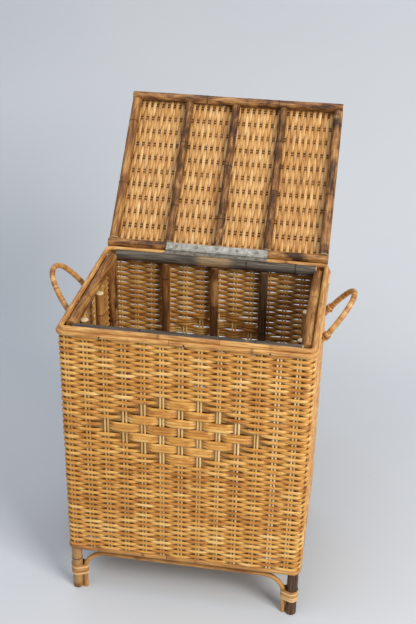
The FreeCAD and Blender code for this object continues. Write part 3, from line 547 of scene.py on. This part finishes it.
reedSection = profile("reedSection", weave["reedThickness"], bandMid + weave["reedOverlap"], weave["sides"])
straightX = 2 * cornerX + quarter
straightY = 2 * cornerY + quarter
walls = (("front", -straightX / 2, straightX), ("right", straightX / 2, straightY),
         ("back", straightX / 2 + straightY, straightX), ("left", straightX * 1.5 + straightY, straightY))
for wall, start, length in walls:
    strands, tones = wallRoutes(wall, start, length)
    tubes(strands, tones, 20)
    piece = tidyMesh(joined(strands, f"wovenReed_{wall}"))
    # painted shade: the reeds are coloured darker near the wall's middle, where they dive between the
    # stakes, and on the wall's inner side
    places = np.abs(vertexPlaces(piece))
    beyond = np.hypot(np.maximum(places[:, 0] - cornerX, 0), np.maximum(places[:, 1] - cornerY, 0))
    depth = beyond - cornerBend
    paintCreviceShade(piece, depth, weave["crevice"], weave["creviceShade"],
             weave["insideShade"] * np.clip(-depth / weave["crevice"], 0, 1))
    finished(piece, finish["wallReed"], "basket", (f"weave_{wall}",))
print("woven walls made")


def stakeRod(name, width, thickness, length):
    # one upright stake: a round rod flattened where the reeds press on it
    bpy.ops.mesh.primitive_cylinder_add(vertices=8, radius=0.5, depth=length)
    rod = bpy.context.object
    rod.name = name
    bpy.ops.object.mode_set(mode="EDIT")
    bpy.ops.mesh.select_all(action="SELECT")
    bpy.ops.transform.resize(value=(width, thickness, 1), center_override=(0, 0, 0))
    bpy.ops.object.mode_set(mode="OBJECT")
    return rod


rods = {wall: [] for wall, start, length in walls}
stakeLength = weaveHigh - weaveLow
for stake in range(weave["stakes"]):
    for side in (-0.5, 0.5):
        spot = weave["firstStake"] + stake * stakePitch + side * weave["pairSpacing"]
        spot += wallDice.uniform(-1, 1) * weave["stakeUneven"]
        spot = (spot + straightX / 2) % loopLength - straightX / 2
        wall = [w for w, start, length in walls if start <= spot][-1]
        point, out = loopPoint(spot)
        rod = stakeRod(f"stake{stake}", weave["stakeWidth"], weave["stakeThickness"], stakeLength)
        withGrain(rod, stake * 2 + int(side + 0.5), wallDice.uniform(-1, 1) * weave["stakeTone"])
        turn = Matrix.Rotation(math.atan2(out.y, out.x) + math.pi / 2, 4, "Z")
        applied(rod, Matrix.Translation(point + Vector((0, 0, weaveLow + stakeLength / 2))) @ turn)
        rods[wall].append(rod)
for wall, group in rods.items():
    piece = smoothed(joined(group, f"stakes_{wall}"), caneCrease)
    finished(piece, finish["stakeReed"], "basket")
print("stakes made")


# Woven panels of the lid and floor
def wovenPanel(name, node, values, body):
    # reeds run from the hinge side to the front and pass over and under pairs of stakes
    dice = random.Random(values["seed"])
    low, high = homeBox(node, body)
    place = placeOf(body)
    count = round((high.x - low.x) / values["reedPitch"])
    pitch = (high.x - low.x) / count
    lines = round((high.y - low.y) / values["stakePitch"])
    stakeStep = (high.y - low.y) / lines
    level = (low.z + high.z) / 2
    section = profile(name + "Section", pitch + values["overlap"], values["reedThickness"], weave["sides"])
    strands = []
    tones = []
    steps = lines * values["stepsPerStake"]
    for index in range(count):
        x = low.x + (index + 0.5) * pitch
        sways = [dice.uniform(-1, 1) * values["uneven"] for _ in range(lines + 2)]
        shades = [dice.uniform(-1, 1) * values["reedTone"] for _ in range(lines + 2)]
        reedTone = dice.uniform(-1, 1) * values["reedTone"]
        points = []
        reedTones = []
        for step in range(steps + 1):
            along = step / values["stepsPerStake"]
            nearest = int(along)
            part = along - nearest
            sway = sways[nearest] * (1 - part) + sways[nearest + 1] * part
            lift = math.sin(math.pi * along) * (1 if index % 2 else -1) * values["bulge"]
            points.append(Vector((x + sway, low.y + along * stakeStep, level + lift)))
            reedTones.append(reedTone + shades[nearest] * (1 - part) + shades[nearest + 1] * part)
        strands.append(route(f"{name}Reed{index}", points, section))
        tones.append(np.array(reedTones))
    tubes(strands, tones, values["seed"])
    piece = tidyMesh(joined(strands, name))
    # painted shade: the reeds are coloured darker near the panel's middle, where they dive between the
    # stakes
    paintCreviceShade(piece, vertexPlaces(piece)[:, 2] - level, values["crevice"], values["creviceShade"])
    applied(piece, place)
    finished(piece, values["reedFinish"], body, (node,))
    rods = []
    lay = Matrix.Rotation(math.radians(90), 4, "Y") @ Matrix.Rotation(math.radians(90), 4, "Z")
    for line in range(lines):
        for side in (-0.5, 0.5):
            y = low.y + (line + 0.5) * stakeStep + side * values["pairSpacing"]
            y += dice.uniform(-1, 1) * values["stakeUneven"]
            rod = stakeRod(f"{name}Stake{line}", values["stakeWidth"], values["stakeThickness"],
                           high.x - low.x)
            withGrain(rod, line * 2 + int(side + 0.5), dice.uniform(-1, 1) * weave["stakeTone"])
            applied(rod, place @ Matrix.Translation(((low.x + high.x) / 2, y, level)) @ lay)
            rods.append(rod)
    piece = smoothed(joined(rods, name + "Stakes"), caneCrease)
    finished(piece, values["stakeFinish"], body)


# the last two values of each: how far and how dark the painted shade is where the reeds dive between the
# stakes
lidWeave = {"seed": 31, "reedFinish": finish["lidReed"], "stakeFinish": finish["lidStake"],
            "reedPitch": 5.95 * mm, "stakePitch": 29.5 * mm, "overlap": 0.7 * mm, "reedThickness": 3.2 * mm,
            "bulge": 1.35 * mm, "uneven": 0.3 * mm, "pairSpacing": 5.6 * mm, "stakeWidth": 3.2 * mm,
            "stakeThickness": 2.2 * mm, "stakeUneven": 0.3 * mm, "stepsPerStake": 10, "reedTone": 0.26,
            "crevice": 0.5 * mm, "creviceShade": 0.55}
floorWeave = {"seed": 47, "reedFinish": finish["wallReed"], "stakeFinish": finish["stakeReed"],
              "reedPitch": 6.6 * mm, "stakePitch": 32 * mm, "overlap": 0.3 * mm, "reedThickness": 2.8 * mm,
              "bulge": 1.5 * mm, "uneven": 0.4 * mm, "pairSpacing": 5.6 * mm, "stakeWidth": 3.6 * mm,
              "stakeThickness": 1.6 * mm, "stakeUneven": 0.3 * mm, "stepsPerStake": 6, "reedTone": 0.3,
              "crevice": 0.9 * mm, "creviceShade": 0.8}
wovenPanel("wovenLid", "lid_panel", lidWeave, "lid")
wovenPanel("wovenFloor", "base_panel", floorWeave, "basket")
print("lid and floor woven")


# Bent canes: rim, lid edging, base and braces
def loopCane(node, name, halfX, backY, frontY, bend, values, body, material):
    # one cane bent round a rounded rectangle; its two ends meet where it starts
    low, high = homeBox(node, body)
    radius = (high.z - low.z) / 2
    level = (high.z + low.z) / 2
    dice = random.Random(values["seed"])
    total, at = loopAround(halfX, backY, frontY, bend)
    count = round(total / values["step"])
    gap = values["seam"] / total
    points = []
    swell = []
    nodeSpots = [total * spot for spot in values["nodes"]]
    for index in range(count + 1):
        walked = total * (gap / 2 + (1 - gap) * index / count)
        point, out = at(values["start"] + walked)
        points.append(point + Vector((0, 0, level)))
        nearNode = max(math.exp(-((walked - spot) / caneShape["nodeReach"]) ** 2) for spot in nodeSpots)
        swell.append(1 + caneShape["nodeSwell"] * nearNode + dice.uniform(-1, 1) * values["uneven"])
    width = 2 * radius * caneFit
    section = profile(name + "Section", width, width, caneShape["sides"])
    cane = route(name, points, section, swell=swell)
    tubes([cane], [dice.uniform(-1, 1) * caneShape["tone"]], values["seed"], [nodeSpots])
    piece = tidyMesh(joined([cane], name))
    applied(piece, placeOf(body))
    return finished(piece, material, body, (node,))


def centreLine(node, radius):
    # half width, back and front of a level loop's centre line, from its box
    low, high = homeBox(node, node.split("_")[0])
    return high.x - radius, high.y - radius, low.y + radius


caneShape = {"nodeReach": 2 * mm, "nodeSwell": 0.05, "sides": 12, "tone": 0.3}
caneRadius = 4.8 * mm
lidCaneRadius = 3.6 * mm
lidCaneCorner = 12 * mm
upperX, upperBack, upperFront = centreLine("rim_cane_upper", caneRadius)
lowerX, lowerBack, lowerFront = centreLine("rim_cane_lower", caneRadius)
lidX, lidBack, lidFront = centreLine("lid_edge_cane", lidCaneRadius)
upperCane = {"seed": 61, "step": 5 * mm, "seam": 0.5 * mm, "start": 60 * mm, "uneven": 0.012,
             "nodes": (0.055, 0.21, 0.37, 0.52, 0.68, 0.83, 0.93)}
lowerCane = {"seed": 62, "step": 5 * mm, "seam": 0.8 * mm, "start": -26 * mm, "uneven": 0.014,
             "nodes": (0.09, 0.24, 0.38, 0.55, 0.70, 0.85, 0.955)}
baseCane = {"seed": 63, "step": 5 * mm, "seam": 0.8 * mm, "start": -30 * mm, "uneven": 0.016,
            "nodes": (0.035, 0.17, 0.31, 0.47, 0.63, 0.79, 0.915, 0.97)}
lidCane = {"seed": 64, "step": 5 * mm, "seam": 0.6 * mm, "start": 90 * mm, "uneven": 0.012,
           "nodes": (0.1, 0.3, 0.5, 0.7, 0.9)}
loopCane("rim_cane_upper", "rimCaneUpper", upperX, upperBack, upperFront, upperX - cornerX, upperCane,
         "basket", finish["rimCane"])
loopCane("rim_cane_lower", "rimCaneLower", lowerX, lowerBack, lowerFront, lowerX - cornerX, lowerCane,
         "basket", finish["rimCane"])
loopCane("base_cane", "baseCane", wallMidX, wallMidY, -wallMidY, cornerBend, baseCane,
         "basket", finish["braceCane"])
loopCane("lid_edge_cane", "lidEdgeCane", lidX, lidBack, lidFront, lidCaneCorner, lidCane,
         "lid", finish["rimCane"])

brace = {"bend": 43 * mm, "bendSteps": 10, "runStep": 12 * mm, "uneven": 0.015,
         "nodes": (0.06, 0.33, 0.52, 0.9)}
for wall, seed in (("front", 71), ("back", 72)):
    low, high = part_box(f"brace_{wall}")
    dice = random.Random(seed)
    radius = (high.y - low.y) / 2
    y = (high.y + low.y) / 2
    reach = high.x - radius
    top = high.z - radius
    turned = [math.pi / 2 * i / brace["bendSteps"] for i in range(brace["bendSteps"] + 1)]
    rise = [Vector((-reach, y, z)) for z in np.arange(0, top - brace["bend"], brace["runStep"])]
    left = [Vector((-reach + brace["bend"] * (1 - math.cos(a)), y, top - brace["bend"] * (1 - math.sin(a))))
            for a in turned]
    run = [Vector((x, y, top)) for x in np.arange(left[-1].x + brace["runStep"], 0, brace["runStep"])]
    half = rise + left + run
    points = half + [Vector((-p.x, p.y, p.z)) for p in reversed(half)]
    swell = [1 + dice.uniform(-1, 1) * brace["uneven"] for _ in points]
    length = sum((b - a).length for a, b in zip(points, points[1:]))
    width = 2 * radius * caneFit
    section = profile(f"brace{wall}Section", width, width, caneShape["sides"])
    cane = route(f"brace_{wall}Cane", points, section, swell=swell, level=False)
    tubes([cane], [0.0], seed, [[length * spot for spot in brace["nodes"]]])
    piece = tidyMesh(joined([cane], f"brace_{wall}Cane"))
    finished(piece, finish["braceCane"], "basket", (f"brace_{wall}",))
print("canes bent")

# Leg bindings: split cane wound round each leg and the foot of its brace
binding = {"turns": 5, "stripThickness": 1.6 * mm, "stripOverlap": 0.1 * mm, "slant": 1.3 * mm,
           "slack": 0.25 * mm, "legSteps": 18, "braceSteps": 10, "sides": 10,
           "slantRange": (0.6, 1.2), "toneRange": (-0.6, 0.3)}
for corner in ("front_left", "front_right", "back_left", "back_right"):
    low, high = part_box(f"leg_binding_{corner}")
    legLow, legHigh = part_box(f"corner_post_{corner}")
    braceLow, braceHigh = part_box(f"brace_{corner.split('_')[0]}")
    leg = (legLow + legHigh) / 2
    legRadius = (legHigh.x - legLow.x) / 2 + binding["stripThickness"] / 2
    braceRadius = (braceHigh.y - braceLow.y) / 2 + binding["stripThickness"] / 2 + binding["slack"]
    inward = -1 if leg.x > 0 else 1
    apart = abs(leg.x) - (braceHigh.x - (braceHigh.y - braceLow.y) / 2)
    angle = math.acos((legRadius - braceRadius) / apart)
    stripHeight = (high.z - low.z) / binding["turns"]
    section = profile(f"bindingSection_{corner}", binding["stripThickness"],
                      stripHeight + binding["stripOverlap"], binding["sides"])
    dice = random.Random(corner)
    strands = []
    for turn in range(binding["turns"]):
        level = low.z + (turn + 0.5) * stripHeight
        points = []
        for step in range(binding["legSteps"] + 1):
            a = angle + (2 * math.pi - 2 * angle) * step / binding["legSteps"]
            points.append((legRadius * math.cos(a), legRadius * math.sin(a)))
        for step in range(binding["braceSteps"] + 1):
            a = -angle + 2 * angle * step / binding["braceSteps"]
            points.append((apart + braceRadius * math.cos(a), braceRadius * math.sin(a)))
        slant = binding["slant"] * dice.uniform(*binding["slantRange"])
        looped = [Vector((leg.x + inward * x, leg.y + y, level + slant * y / legRadius)) for x, y in points]
        strands.append(route(f"binding{corner}{turn}", looped, section, cyclic=True))
    tubes(strands, [dice.uniform(*binding["toneRange"]) for _ in strands], 80)
    piece = tidyMesh(joined(strands, f"legBinding_{corner}"))
    finished(piece, finish["windingCane"], "basket", (f"leg_binding_{corner}",))
print("legs bound")

# Handles: flat strip cane wound round the bent core, and a lashing round each end
# the handle's crevice values give how far and how dark the painted shade on the strip's inner side is
handle = {"rise": 81 * mm, "crown": 42 * mm, "lean": 35.7, "tail": 7 * mm, "arcSteps": 16, "crownSteps": 24,
          "turnPitch": 3.9 * mm, "stripWidth": 5.2 * mm, "stripThickness": 1.5 * mm, "tilt": 8,
          "coreRadius": 4.2 * mm, "turnTone": 0.3, "crevice": 0.42 * mm, "creviceShade": 0.8,
          "loops": 4, "loopCord": 1.35 * mm, "loopPitch": 2.3 * mm, "loopTilt": 12, "loopStart": 4 * mm,
          "loopPress": 0.8, "loopTone": 0.5}


def handleLine(span, rise, crown, tail):
    # the handle's centre line in its own plane: tails, two wide side arcs and a tighter crown
    half = span / 2
    crownZ = rise - crown
    sweep = (half ** 2 + crownZ ** 2 - crown ** 2) / (2 * (half - crown))
    sideX = half - sweep
    lean = math.atan2(crownZ, -sideX)
    sideTurns = [lean * i / handle["arcSteps"] for i in range(handle["arcSteps"] + 1)]
    side = [(sideX + sweep * math.cos(a), sweep * math.sin(a)) for a in sideTurns]
    topTurns = [lean + (math.pi - 2 * lean) * i / handle["crownSteps"]
                for i in range(1, handle["crownSteps"])]
    top = [(crown * math.cos(a), crownZ + crown * math.sin(a)) for a in topTurns]
    return [(half, -tail)] + side + top + [(-x, z) for x, z in reversed(side)] + [(-half, -tail)]


for wall, side in (("left", -1), ("right", 1)):
    low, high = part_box(f"handle_core_{wall}")
    lean = math.radians(handle["lean"])
    up = Vector((side * math.sin(lean), 0, math.cos(lean)))
    offset = (low.y + high.y) / 2
    wrapLow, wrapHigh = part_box(f"handle_wrap_{wall}")
    coreRadius = handle["coreRadius"]
    wrapRadius = (wrapHigh.z - high.z) + coreRadius
    span = high.y - low.y - 2 * coreRadius
    outer = high.x - coreRadius if side > 0 else low.x + coreRadius
    crownTop = Vector((outer, offset, high.z - coreRadius))
    foot = crownTop - up * handle["rise"]
    line = handleLine(span, handle["rise"], handle["crown"], handle["tail"])
    points = [foot + Vector((0, x, 0)) + up * z for x, z in line]
    guide = route(f"guide_{wall}", points, None, level=False)
    guide.data.bevel_mode = "ROUND"
    length = sum((b - a).length for a, b in zip(points, points[1:]))
    # one turn of strip: a ring flattened to a band and tilted as a winding is
    bpy.ops.mesh.primitive_torus_add(major_segments=18, minor_segments=6, major_radius=wrapRadius -
                                     handle["stripThickness"] / 2, minor_radius=handle["stripThickness"] / 2)
    strip = bpy.context.object
    strip.name = f"handleWinding_{wall}"
    bpy.ops.object.mode_set(mode="EDIT")
    bpy.ops.mesh.select_all(action="SELECT")
    bpy.ops.transform.resize(value=(1, 1, handle["stripWidth"] / handle["stripThickness"]),
                             center_override=(0, 0, 0))
    bpy.ops.transform.rotate(value=math.radians(handle["tilt"]), orient_axis="X", center_override=(0, 0, 0))
    bpy.ops.object.mode_set(mode="OBJECT")
    ringPoints = len(strip.data.vertices)
    turns = strip.modifiers.new("turns", "ARRAY")
    turns.count = int(length / handle["turnPitch"])
    turns.use_relative_offset = False
    turns.use_constant_offset = True
    turns.constant_offset_displace = (0, 0, length / turns.count)
    wound = strip.modifiers.new("wound", "CURVE")
    wound.object = guide
    wound.deform_axis = "POS_Z"
    only(strip)
    bpy.ops.object.modifier_apply(modifier="turns")
    flat = vertexPlaces(strip)
    bpy.ops.object.modifier_apply(modifier="wound")
    dice = random.Random(90 + side)
    ringCount = len(flat) // ringPoints
    shifts = np.repeat([dice.uniform(0, grainSpread) for _ in range(ringCount)], ringPoints)
    around = np.arctan2(flat[:, 1], flat[:, 0]) * wrapRadius
    radial = np.hypot(flat[:, 0], flat[:, 1])
    addAttribute(strip, "grain", "FLOAT_VECTOR", np.stack([flat[:, 2], radial + shifts, around], 1))
    turnTones = [dice.uniform(-1, 1) * handle["turnTone"] for _ in range(ringCount)]
    addAttribute(strip, "tone", "FLOAT", np.repeat(turnTones, ringPoints))
    # painted shade: the strip is coloured darker on its inner side, which shows in the gaps between turns
    paintCreviceShade(strip, radial - (wrapRadius - handle["stripThickness"]),
             handle["crevice"], handle["creviceShade"])
    smoothed(strip, windingCrease)
    finished(strip, finish["windingCane"], "basket", (f"handle_wrap_{wall}",))
    loops = []
    for end in (-0.5, 0.5):
        for turn in range(handle["loops"]):
            at = foot + Vector((0, end * span, 0)) + up * (handle["loopStart"] + turn * handle["loopPitch"])
            loopRadius = wrapRadius + handle["loopCord"] * handle["loopPress"]
            bpy.ops.mesh.primitive_torus_add(major_segments=24, minor_segments=8, major_radius=loopRadius,
                                             minor_radius=handle["loopCord"])
            loop = withGrain(bpy.context.object, turn, dice.uniform(-1, 1) * handle["loopTone"])
            tilt = math.radians(handle["loopTilt"]) * (1 if turn % 2 else -1)
            turned = Matrix.Rotation(side * lean, 4, "Y") @ Matrix.Rotation(tilt, 4, "X")
            applied(loop, Matrix.Translation(at) @ turned)
            loops.append(loop)
    piece = smoothed(joined(loops, f"handleLashing_{wall}"), windingCrease)
    finished(piece, finish["windingCane"], "basket", (f"handle_lashing_{wall}",))
print("handles wound")


# Poles with growth nodes
def pole(node, material, rings, bare, seed, values):
    # a rattan pole grown from its end ring by extruding and scaling, swollen at each growth node
    dice = random.Random(seed)
    family = node.split("_")[0]
    body = "lid" if family == "lid" else "basket"
    words = node.replace("corner_", "").split("_")
    low, high = homeBox(node, body)
    span = high - low
    axis = max(range(3), key=lambda i: span[i])
    length = span[axis]
    radius = min(span) / 2
    stations = {}
    count = max(4, round(length / values["step"]))
    for index in range(count + 1):
        stations[length * index / count] = 1.0 + dice.uniform(-1, 1) * values["uneven"]
    for place in rings:
        for shift, scale in values["nodeShape"]:
            if 0 < place * length + shift < length:
                stations[place * length + shift] = scale
    stations = sorted(stations.items())
    clean = [(0.0, 1.0 - values["edge"] / radius), (values["edge"], 1.0)]
    for z, scale in stations:
        if clean[-1][0] + values["closest"] < z < length - 2 * values["edge"]:
            clean.append((z, scale))
    clean += [(length - values["edge"], 1.0), (length, 1.0 - values["edge"] / radius)]
    sway = [dice.uniform(0, 2 * math.pi) for _ in range(2)]

    def offCentre(z):
        # the pole isn't quite straight, but its ends are where they are joined
        swing = values["bow"] * math.sin(math.pi * z / length)
        return Vector((swing * math.cos(sway[0] + values["swayX"] * z / length),
                       swing * math.sin(sway[1] + values["swayY"] * z / length), z))

    bpy.ops.mesh.primitive_circle_add(vertices=values["sides"], radius=radius * caneFit, fill_type="NGON")
    made = bpy.context.object
    made.name = words[0] + "".join(word.capitalize() for word in words[1:])
    bpy.ops.object.mode_set(mode="EDIT")
    bpy.ops.mesh.select_all(action="SELECT")
    bpy.ops.transform.resize(value=(clean[0][1],) * 3, center_override=(0, 0, 0))
    for (before, oldScale), (z, scale) in zip(clean, clean[1:]):
        step = offCentre(z) - offCentre(before)
        bpy.ops.mesh.extrude_region_move(TRANSFORM_OT_translate={"value": step})
        factor = scale / oldScale
        bpy.ops.transform.resize(value=(factor, factor, 1), center_override=offCentre(z))
    bpy.ops.mesh.select_all(action="SELECT")
    bpy.ops.mesh.normals_make_consistent(inside=False)
    bpy.ops.object.mode_set(mode="OBJECT")
    withGrain(made, seed)
    heights = vertexPlaces(made)[:, 2]
    ring = np.zeros(len(heights))
    for place in rings:
        below = heights - place * length + growthRing["poleDrop"]
        ring = np.maximum(ring, np.exp(-(below / growthRing["poleReach"]) ** 2))
    addAttribute(made, "ring", "FLOAT", ring * growthRing["poleDark"])
    scraped = np.zeros(len(heights))
    for start, end in bare:
        inside = np.minimum(heights - start * length, end * length - heights) / values["scrapeFade"]
        scraped = np.maximum(scraped, np.clip(0.5 + 0.5 * inside, 0, 1))
    addAttribute(made, "bare", "FLOAT", scraped * values["scraped"])
    # the sawn top end is pale, but at the back it is dirty
    sawn = values["sawnBack"] if "_back_" in node else values["sawn"]
    addAttribute(made, "cut", "FLOAT", (heights > length - 0.5 * values["edge"]) * sawn)
    smoothed(made, values["crease"])
    start = (low + high) / 2
    start[axis] = low[axis]
    turn = {0: Matrix.Rotation(math.radians(90), 4, "Y"), 1: Matrix.Rotation(math.radians(-90), 4, "X"),
            2: noTurn}[axis]
    applied(made, placeOf(body) @ Matrix.Translation(start) @ turn)
    return finished(made, finish[material], body, (node,))


poleValues = {"sides": 18, "step": 16 * mm, "uneven": 0.018, "edge": 1.2 * mm, "closest": 0.3 * mm,
              "bow": 0.5 * mm, "swayX": 4, "swayY": 5, "crease": 40, "scrapeFade": 14 * mm, "scraped": 0.52,
              "sawn": 0.9, "sawnBack": 0.1,
              # distance from a growth node and how full the pole is there
              "nodeShape": ((-5 * mm, 1.0), (-2.2 * mm, 1.02), (-0.9 * mm, 1.05), (-0.2 * mm, 1.02),
                            (0.4 * mm, 1.035), (1.6 * mm, 1.0), (5 * mm, 0.985))}
# finish, growth nodes, and stretches where the bark is scraped off, as shares of the length
poles = {
    "corner_post_front_left": ("tanPole", (0.127, 0.55), ((0, 0.2),)),
    "corner_post_front_right": ("darkPole", (0.4, 0.8), ((0, 0.04),)),
    "corner_post_back_left": ("smokedPole", (0.3, 0.75), ()),
    "corner_post_back_right": ("tanPole", (0.2, 0.66), ()),
    "top_rail_front": ("greyPole", (0.3, 0.8), ((0.73, 0.8),)),
    "top_rail_back": ("greyPole", (0.66, 0.9), ((0.38, 0.62),)),
    "top_rail_left": ("tanPole", (0.35,), ()),
    "top_rail_right": ("tanPole", (0.6,), ()),
    "base_rail_front": ("tanPole", (0.25, 0.7), ()),
    "base_rail_back": ("tanPole", (0.4, 0.8), ()),
    "base_rail_left": ("smokedPole", (0.5,), ()),
    "base_rail_right": ("tanPole", (0.3,), ()),
    "wall_post_front_1": ("tanPole", (0.4,), ()),
    "wall_post_front_2": ("smokedPole", (0.7,), ()),
    "wall_post_front_3": ("tanPole", (0.3,), ()),
    "wall_post_back_1": ("russetPole", (0.62, 0.93), ()),
    "wall_post_back_2": ("russetPole", (0.55,), ((0.8, 0.97),)),
    "wall_post_back_3": ("darkPole", (0.7,), ()),
    "wall_post_left_1": ("smokedPole", (0.6,), ((0.93, 1),)),
    "wall_post_left_2": ("tanPole", (0.9,), ((0.95, 1),)),
    "wall_post_right_1": ("smokedPole", (0.5,), ()),
    "wall_post_right_2": ("tanPole", (0.3,), ()),
    "lid_front_pole": ("smokedPole", (0.36, 0.7), ()),
    "lid_left_pole": ("tanPole", (0.17, 0.62), ()),
    "lid_right_pole": ("smokedPole", (0.1, 0.6), ((0, 0.08),)),
    "lid_rib_1": ("barkPole", (0.3, 0.75), ()),
    "lid_rib_2": ("barkPole", (0.45, 0.82), ((0.86, 0.97),)),
    "lid_rib_3": ("barkPole", (0.25, 0.6), ()),
}
for index, (node, (material, rings, bare)) in enumerate(poles.items()):
    pole(node, material, rings, bare, 300 + index, poleValues)
print("poles made")


# Finishes on the CAD pieces that stay
def dress(node, material):
    if not nodes[node].material_slots:
        nodes[node].data.materials.append(material)
    for place in nodes[node].material_slots:
        place.material = material


alongX = (0, math.radians(90), 0)
alongY = (math.radians(90), 0, 0)
dress("lid_rear_pole", rattan("smoked_rattan_pole_notched", looks["smokedPole"], alongX))
dress("base_slats", rattan("tan_rattan_slats", looks["tanPole"], alongY))
handleCore = rattan("bent_rattan_core", looks["rimCane"], alongY)
dress("handle_core_left", handleCore)
dress("handle_core_right", handleCore)

# rolled mild steel sheet, hot-dip galvanised: dull grey spangle, scuffed paler
zinc, tree, shader = newMaterial("galvanised_steel_sheet", 0.5, Metallic=0.7)
coords = addNode(tree, "TexCoord")
spangle = addNode(tree, "TexNoise", {"Scale": 1 / (9 * mm), "Detail": 5.0, "Roughness": 0.75},
                  {"Vector": coords.outputs["Object"]})
zincTone = addNode(tree, "ValToRGB", links={"Fac": spangle.outputs["Fac"]},
                   stops=((0.3, "#6f6c63"), (0.5, "#9b988e"), (0.72, "#c4c1b7")))
tree.links.new(zincTone.outputs["Color"], shader.inputs["Base Color"])
zincBump = addNode(tree, "Bump", {"Strength": 0.3, "Distance": 0.3 * mm}, {"Height": spangle.outputs["Fac"]})
tree.links.new(zincBump.outputs[0], shader.inputs["Normal"])
for node in ("hinge_leaf_body", "hinge_leaf_lid", "hinge_pin"):
    dress(node, zinc)

# drawn steel wire: screws as dull as the hinge, nails gone dark with rust
for name, dark, light, dressed in (
    ("dull_steel_screws", "#6e6a60", "#8f8b80", ("hinge_screws_body", "hinge_screws_lid")),
    ("rusted_steel_nails", "#3f2a1c", "#6b4a30", ("rim_nails",)),
):
    steel, tree, shader = newMaterial(name, 0.5, Metallic=0.8)
    coords = addNode(tree, "TexCoord")
    rust = addNode(tree, "TexNoise", {"Scale": 1 / (1.7 * mm), "Detail": 3.0},
                   {"Vector": coords.outputs["Object"]})
    rustTone = addNode(tree, "ValToRGB", links={"Fac": rust.outputs["Fac"]},
                       stops=((0.35, dark), (0.7, light)))
    tree.links.new(rustTone.outputs["Color"], shader.inputs["Base Color"])
    for node in dressed:
        dress(node, steel)
print("finishes set")

for helper in [o for o in bpy.data.objects if o.type == "CURVE"]:
    bpy.data.objects.remove(helper)

# Backdrop, light and camera
studio = {"floorFront": 4.0, "wallBack": 1.5, "sweep": 0.8, "wallHeight": 4.0, "halfWidth": 6.0}
bpy.ops.mesh.primitive_plane_add(size=2, location=(0, 0, 0))
backdrop = bpy.context.object
backdrop.name = "backdrop"
bpy.ops.object.mode_set(mode="EDIT")
bpy.ops.mesh.select_all(action="SELECT")
bpy.ops.transform.resize(value=(studio["halfWidth"], (studio["floorFront"] + studio["wallBack"]) / 2, 1),
                         center_override=(0, 0, 0))
bpy.ops.transform.translate(value=(0, (studio["wallBack"] - studio["floorFront"]) / 2, 0))
bpy.ops.mesh.select_all(action="DESELECT")
bpy.ops.object.mode_set(mode="OBJECT")
for edge in backdrop.data.edges:
    edge.select = all(backdrop.data.vertices[v].co.y > 0 for v in edge.vertices)
bpy.ops.object.mode_set(mode="EDIT")
bpy.ops.mesh.select_mode(type="EDGE")
bpy.ops.mesh.extrude_region_move(TRANSFORM_OT_translate={"value": (0, 0, studio["wallHeight"])})
bpy.ops.object.mode_set(mode="OBJECT")
modifier = backdrop.modifiers.new("sweep", "BEVEL")
modifier.width = studio["sweep"]
modifier.segments = 16
modifier.limit_method = "ANGLE"
only(backdrop)
bpy.ops.object.modifier_apply(modifier="sweep")
bpy.ops.object.shade_smooth()
paper, tree, shader = newMaterial("matt_backdrop_paper", 0.9)
coords = addNode(tree, "TexCoord")
fibre = addNode(tree, "TexNoise", {"Scale": 1.2, "Detail": 2.0}, {"Vector": coords.outputs["Object"]})
fibreTone = addNode(tree, "ValToRGB", links={"Fac": fibre.outputs["Fac"]},
                    stops=((0.3, "#c6ccd4"), (0.7, "#ccd1d7")))
tree.links.new(fibreTone.outputs["Color"], shader.inputs["Base Color"])
# the paper shows only from its front, so the object can be seen from behind and from below it
facing = addNode(tree, "NewGeometry")
clear = addNode(tree, "BsdfTransparent")
oneSided = addNode(tree, "MixShader", links={0: facing.outputs["Backfacing"], 1: shader.outputs[0],
                                             2: clear.outputs[0]})
tree.links.new(oneSided.outputs[0], tree.nodes["Material Output"].inputs["Surface"])
backdrop.data.materials.append(paper)


def areaLight(name, at, aim, size, power, colour):
    lamp = bpy.data.lights.new(name, "AREA")
    lamp.shape = "RECTANGLE"
    lamp.size = size
    lamp.size_y = size
    lamp.energy = power
    lamp.color = linear(colour)[:3]
    holder = bpy.data.objects.new(name, lamp)
    holder.location = at
    holder.rotation_euler = (Vector(aim) - Vector(at)).to_track_quat("-Z", "Y").to_euler()
    bpy.context.scene.collection.objects.link(holder)


areaLight("windowLight", (2.5, -2.1, 2.5), (0, 0, 0.4), 1.7, 134, "#fffaf2")
areaLight("skyLight", (-0.7, -0.7, 3.6), (-0.1, 0.1, 0.3), 3.0, 56, "#f3f6ff")
world = bpy.data.worlds.new("room")
bpy.context.scene.world = world
world.use_nodes = True
world.node_tree.nodes["Background"].inputs["Color"].default_value = linear("#ededea")
world.node_tree.nodes["Background"].inputs["Strength"].default_value = 0.34
bpy.context.scene.view_settings.view_transform = "Standard"

view = {"at": (0.2687, -1.6536, 1.4162), "swing": 8.802, "dip": 27.593, "roll": 1.146, "lens": 59.77,
        "sensor": 36, "farthest": 50}
camera = bpy.data.cameras.new("camera")
camera.lens = view["lens"]
camera.sensor_width = view["sensor"]
camera.clip_end = view["farthest"]
cameraHolder = bpy.data.objects.new("camera", camera)
swing = Matrix.Rotation(math.radians(view["swing"]), 4, "Z")
dip = Matrix.Rotation(math.radians(90 - view["dip"]), 4, "X")
roll = Matrix.Rotation(math.radians(view["roll"]), 4, "Z")
cameraHolder.matrix_world = Matrix.Translation(view["at"]) @ swing @ dip @ roll
bpy.context.scene.collection.objects.link(cameraHolder)
bpy.context.scene.camera = cameraHolder
print("studio set")

bpy.context.view_layer.update()
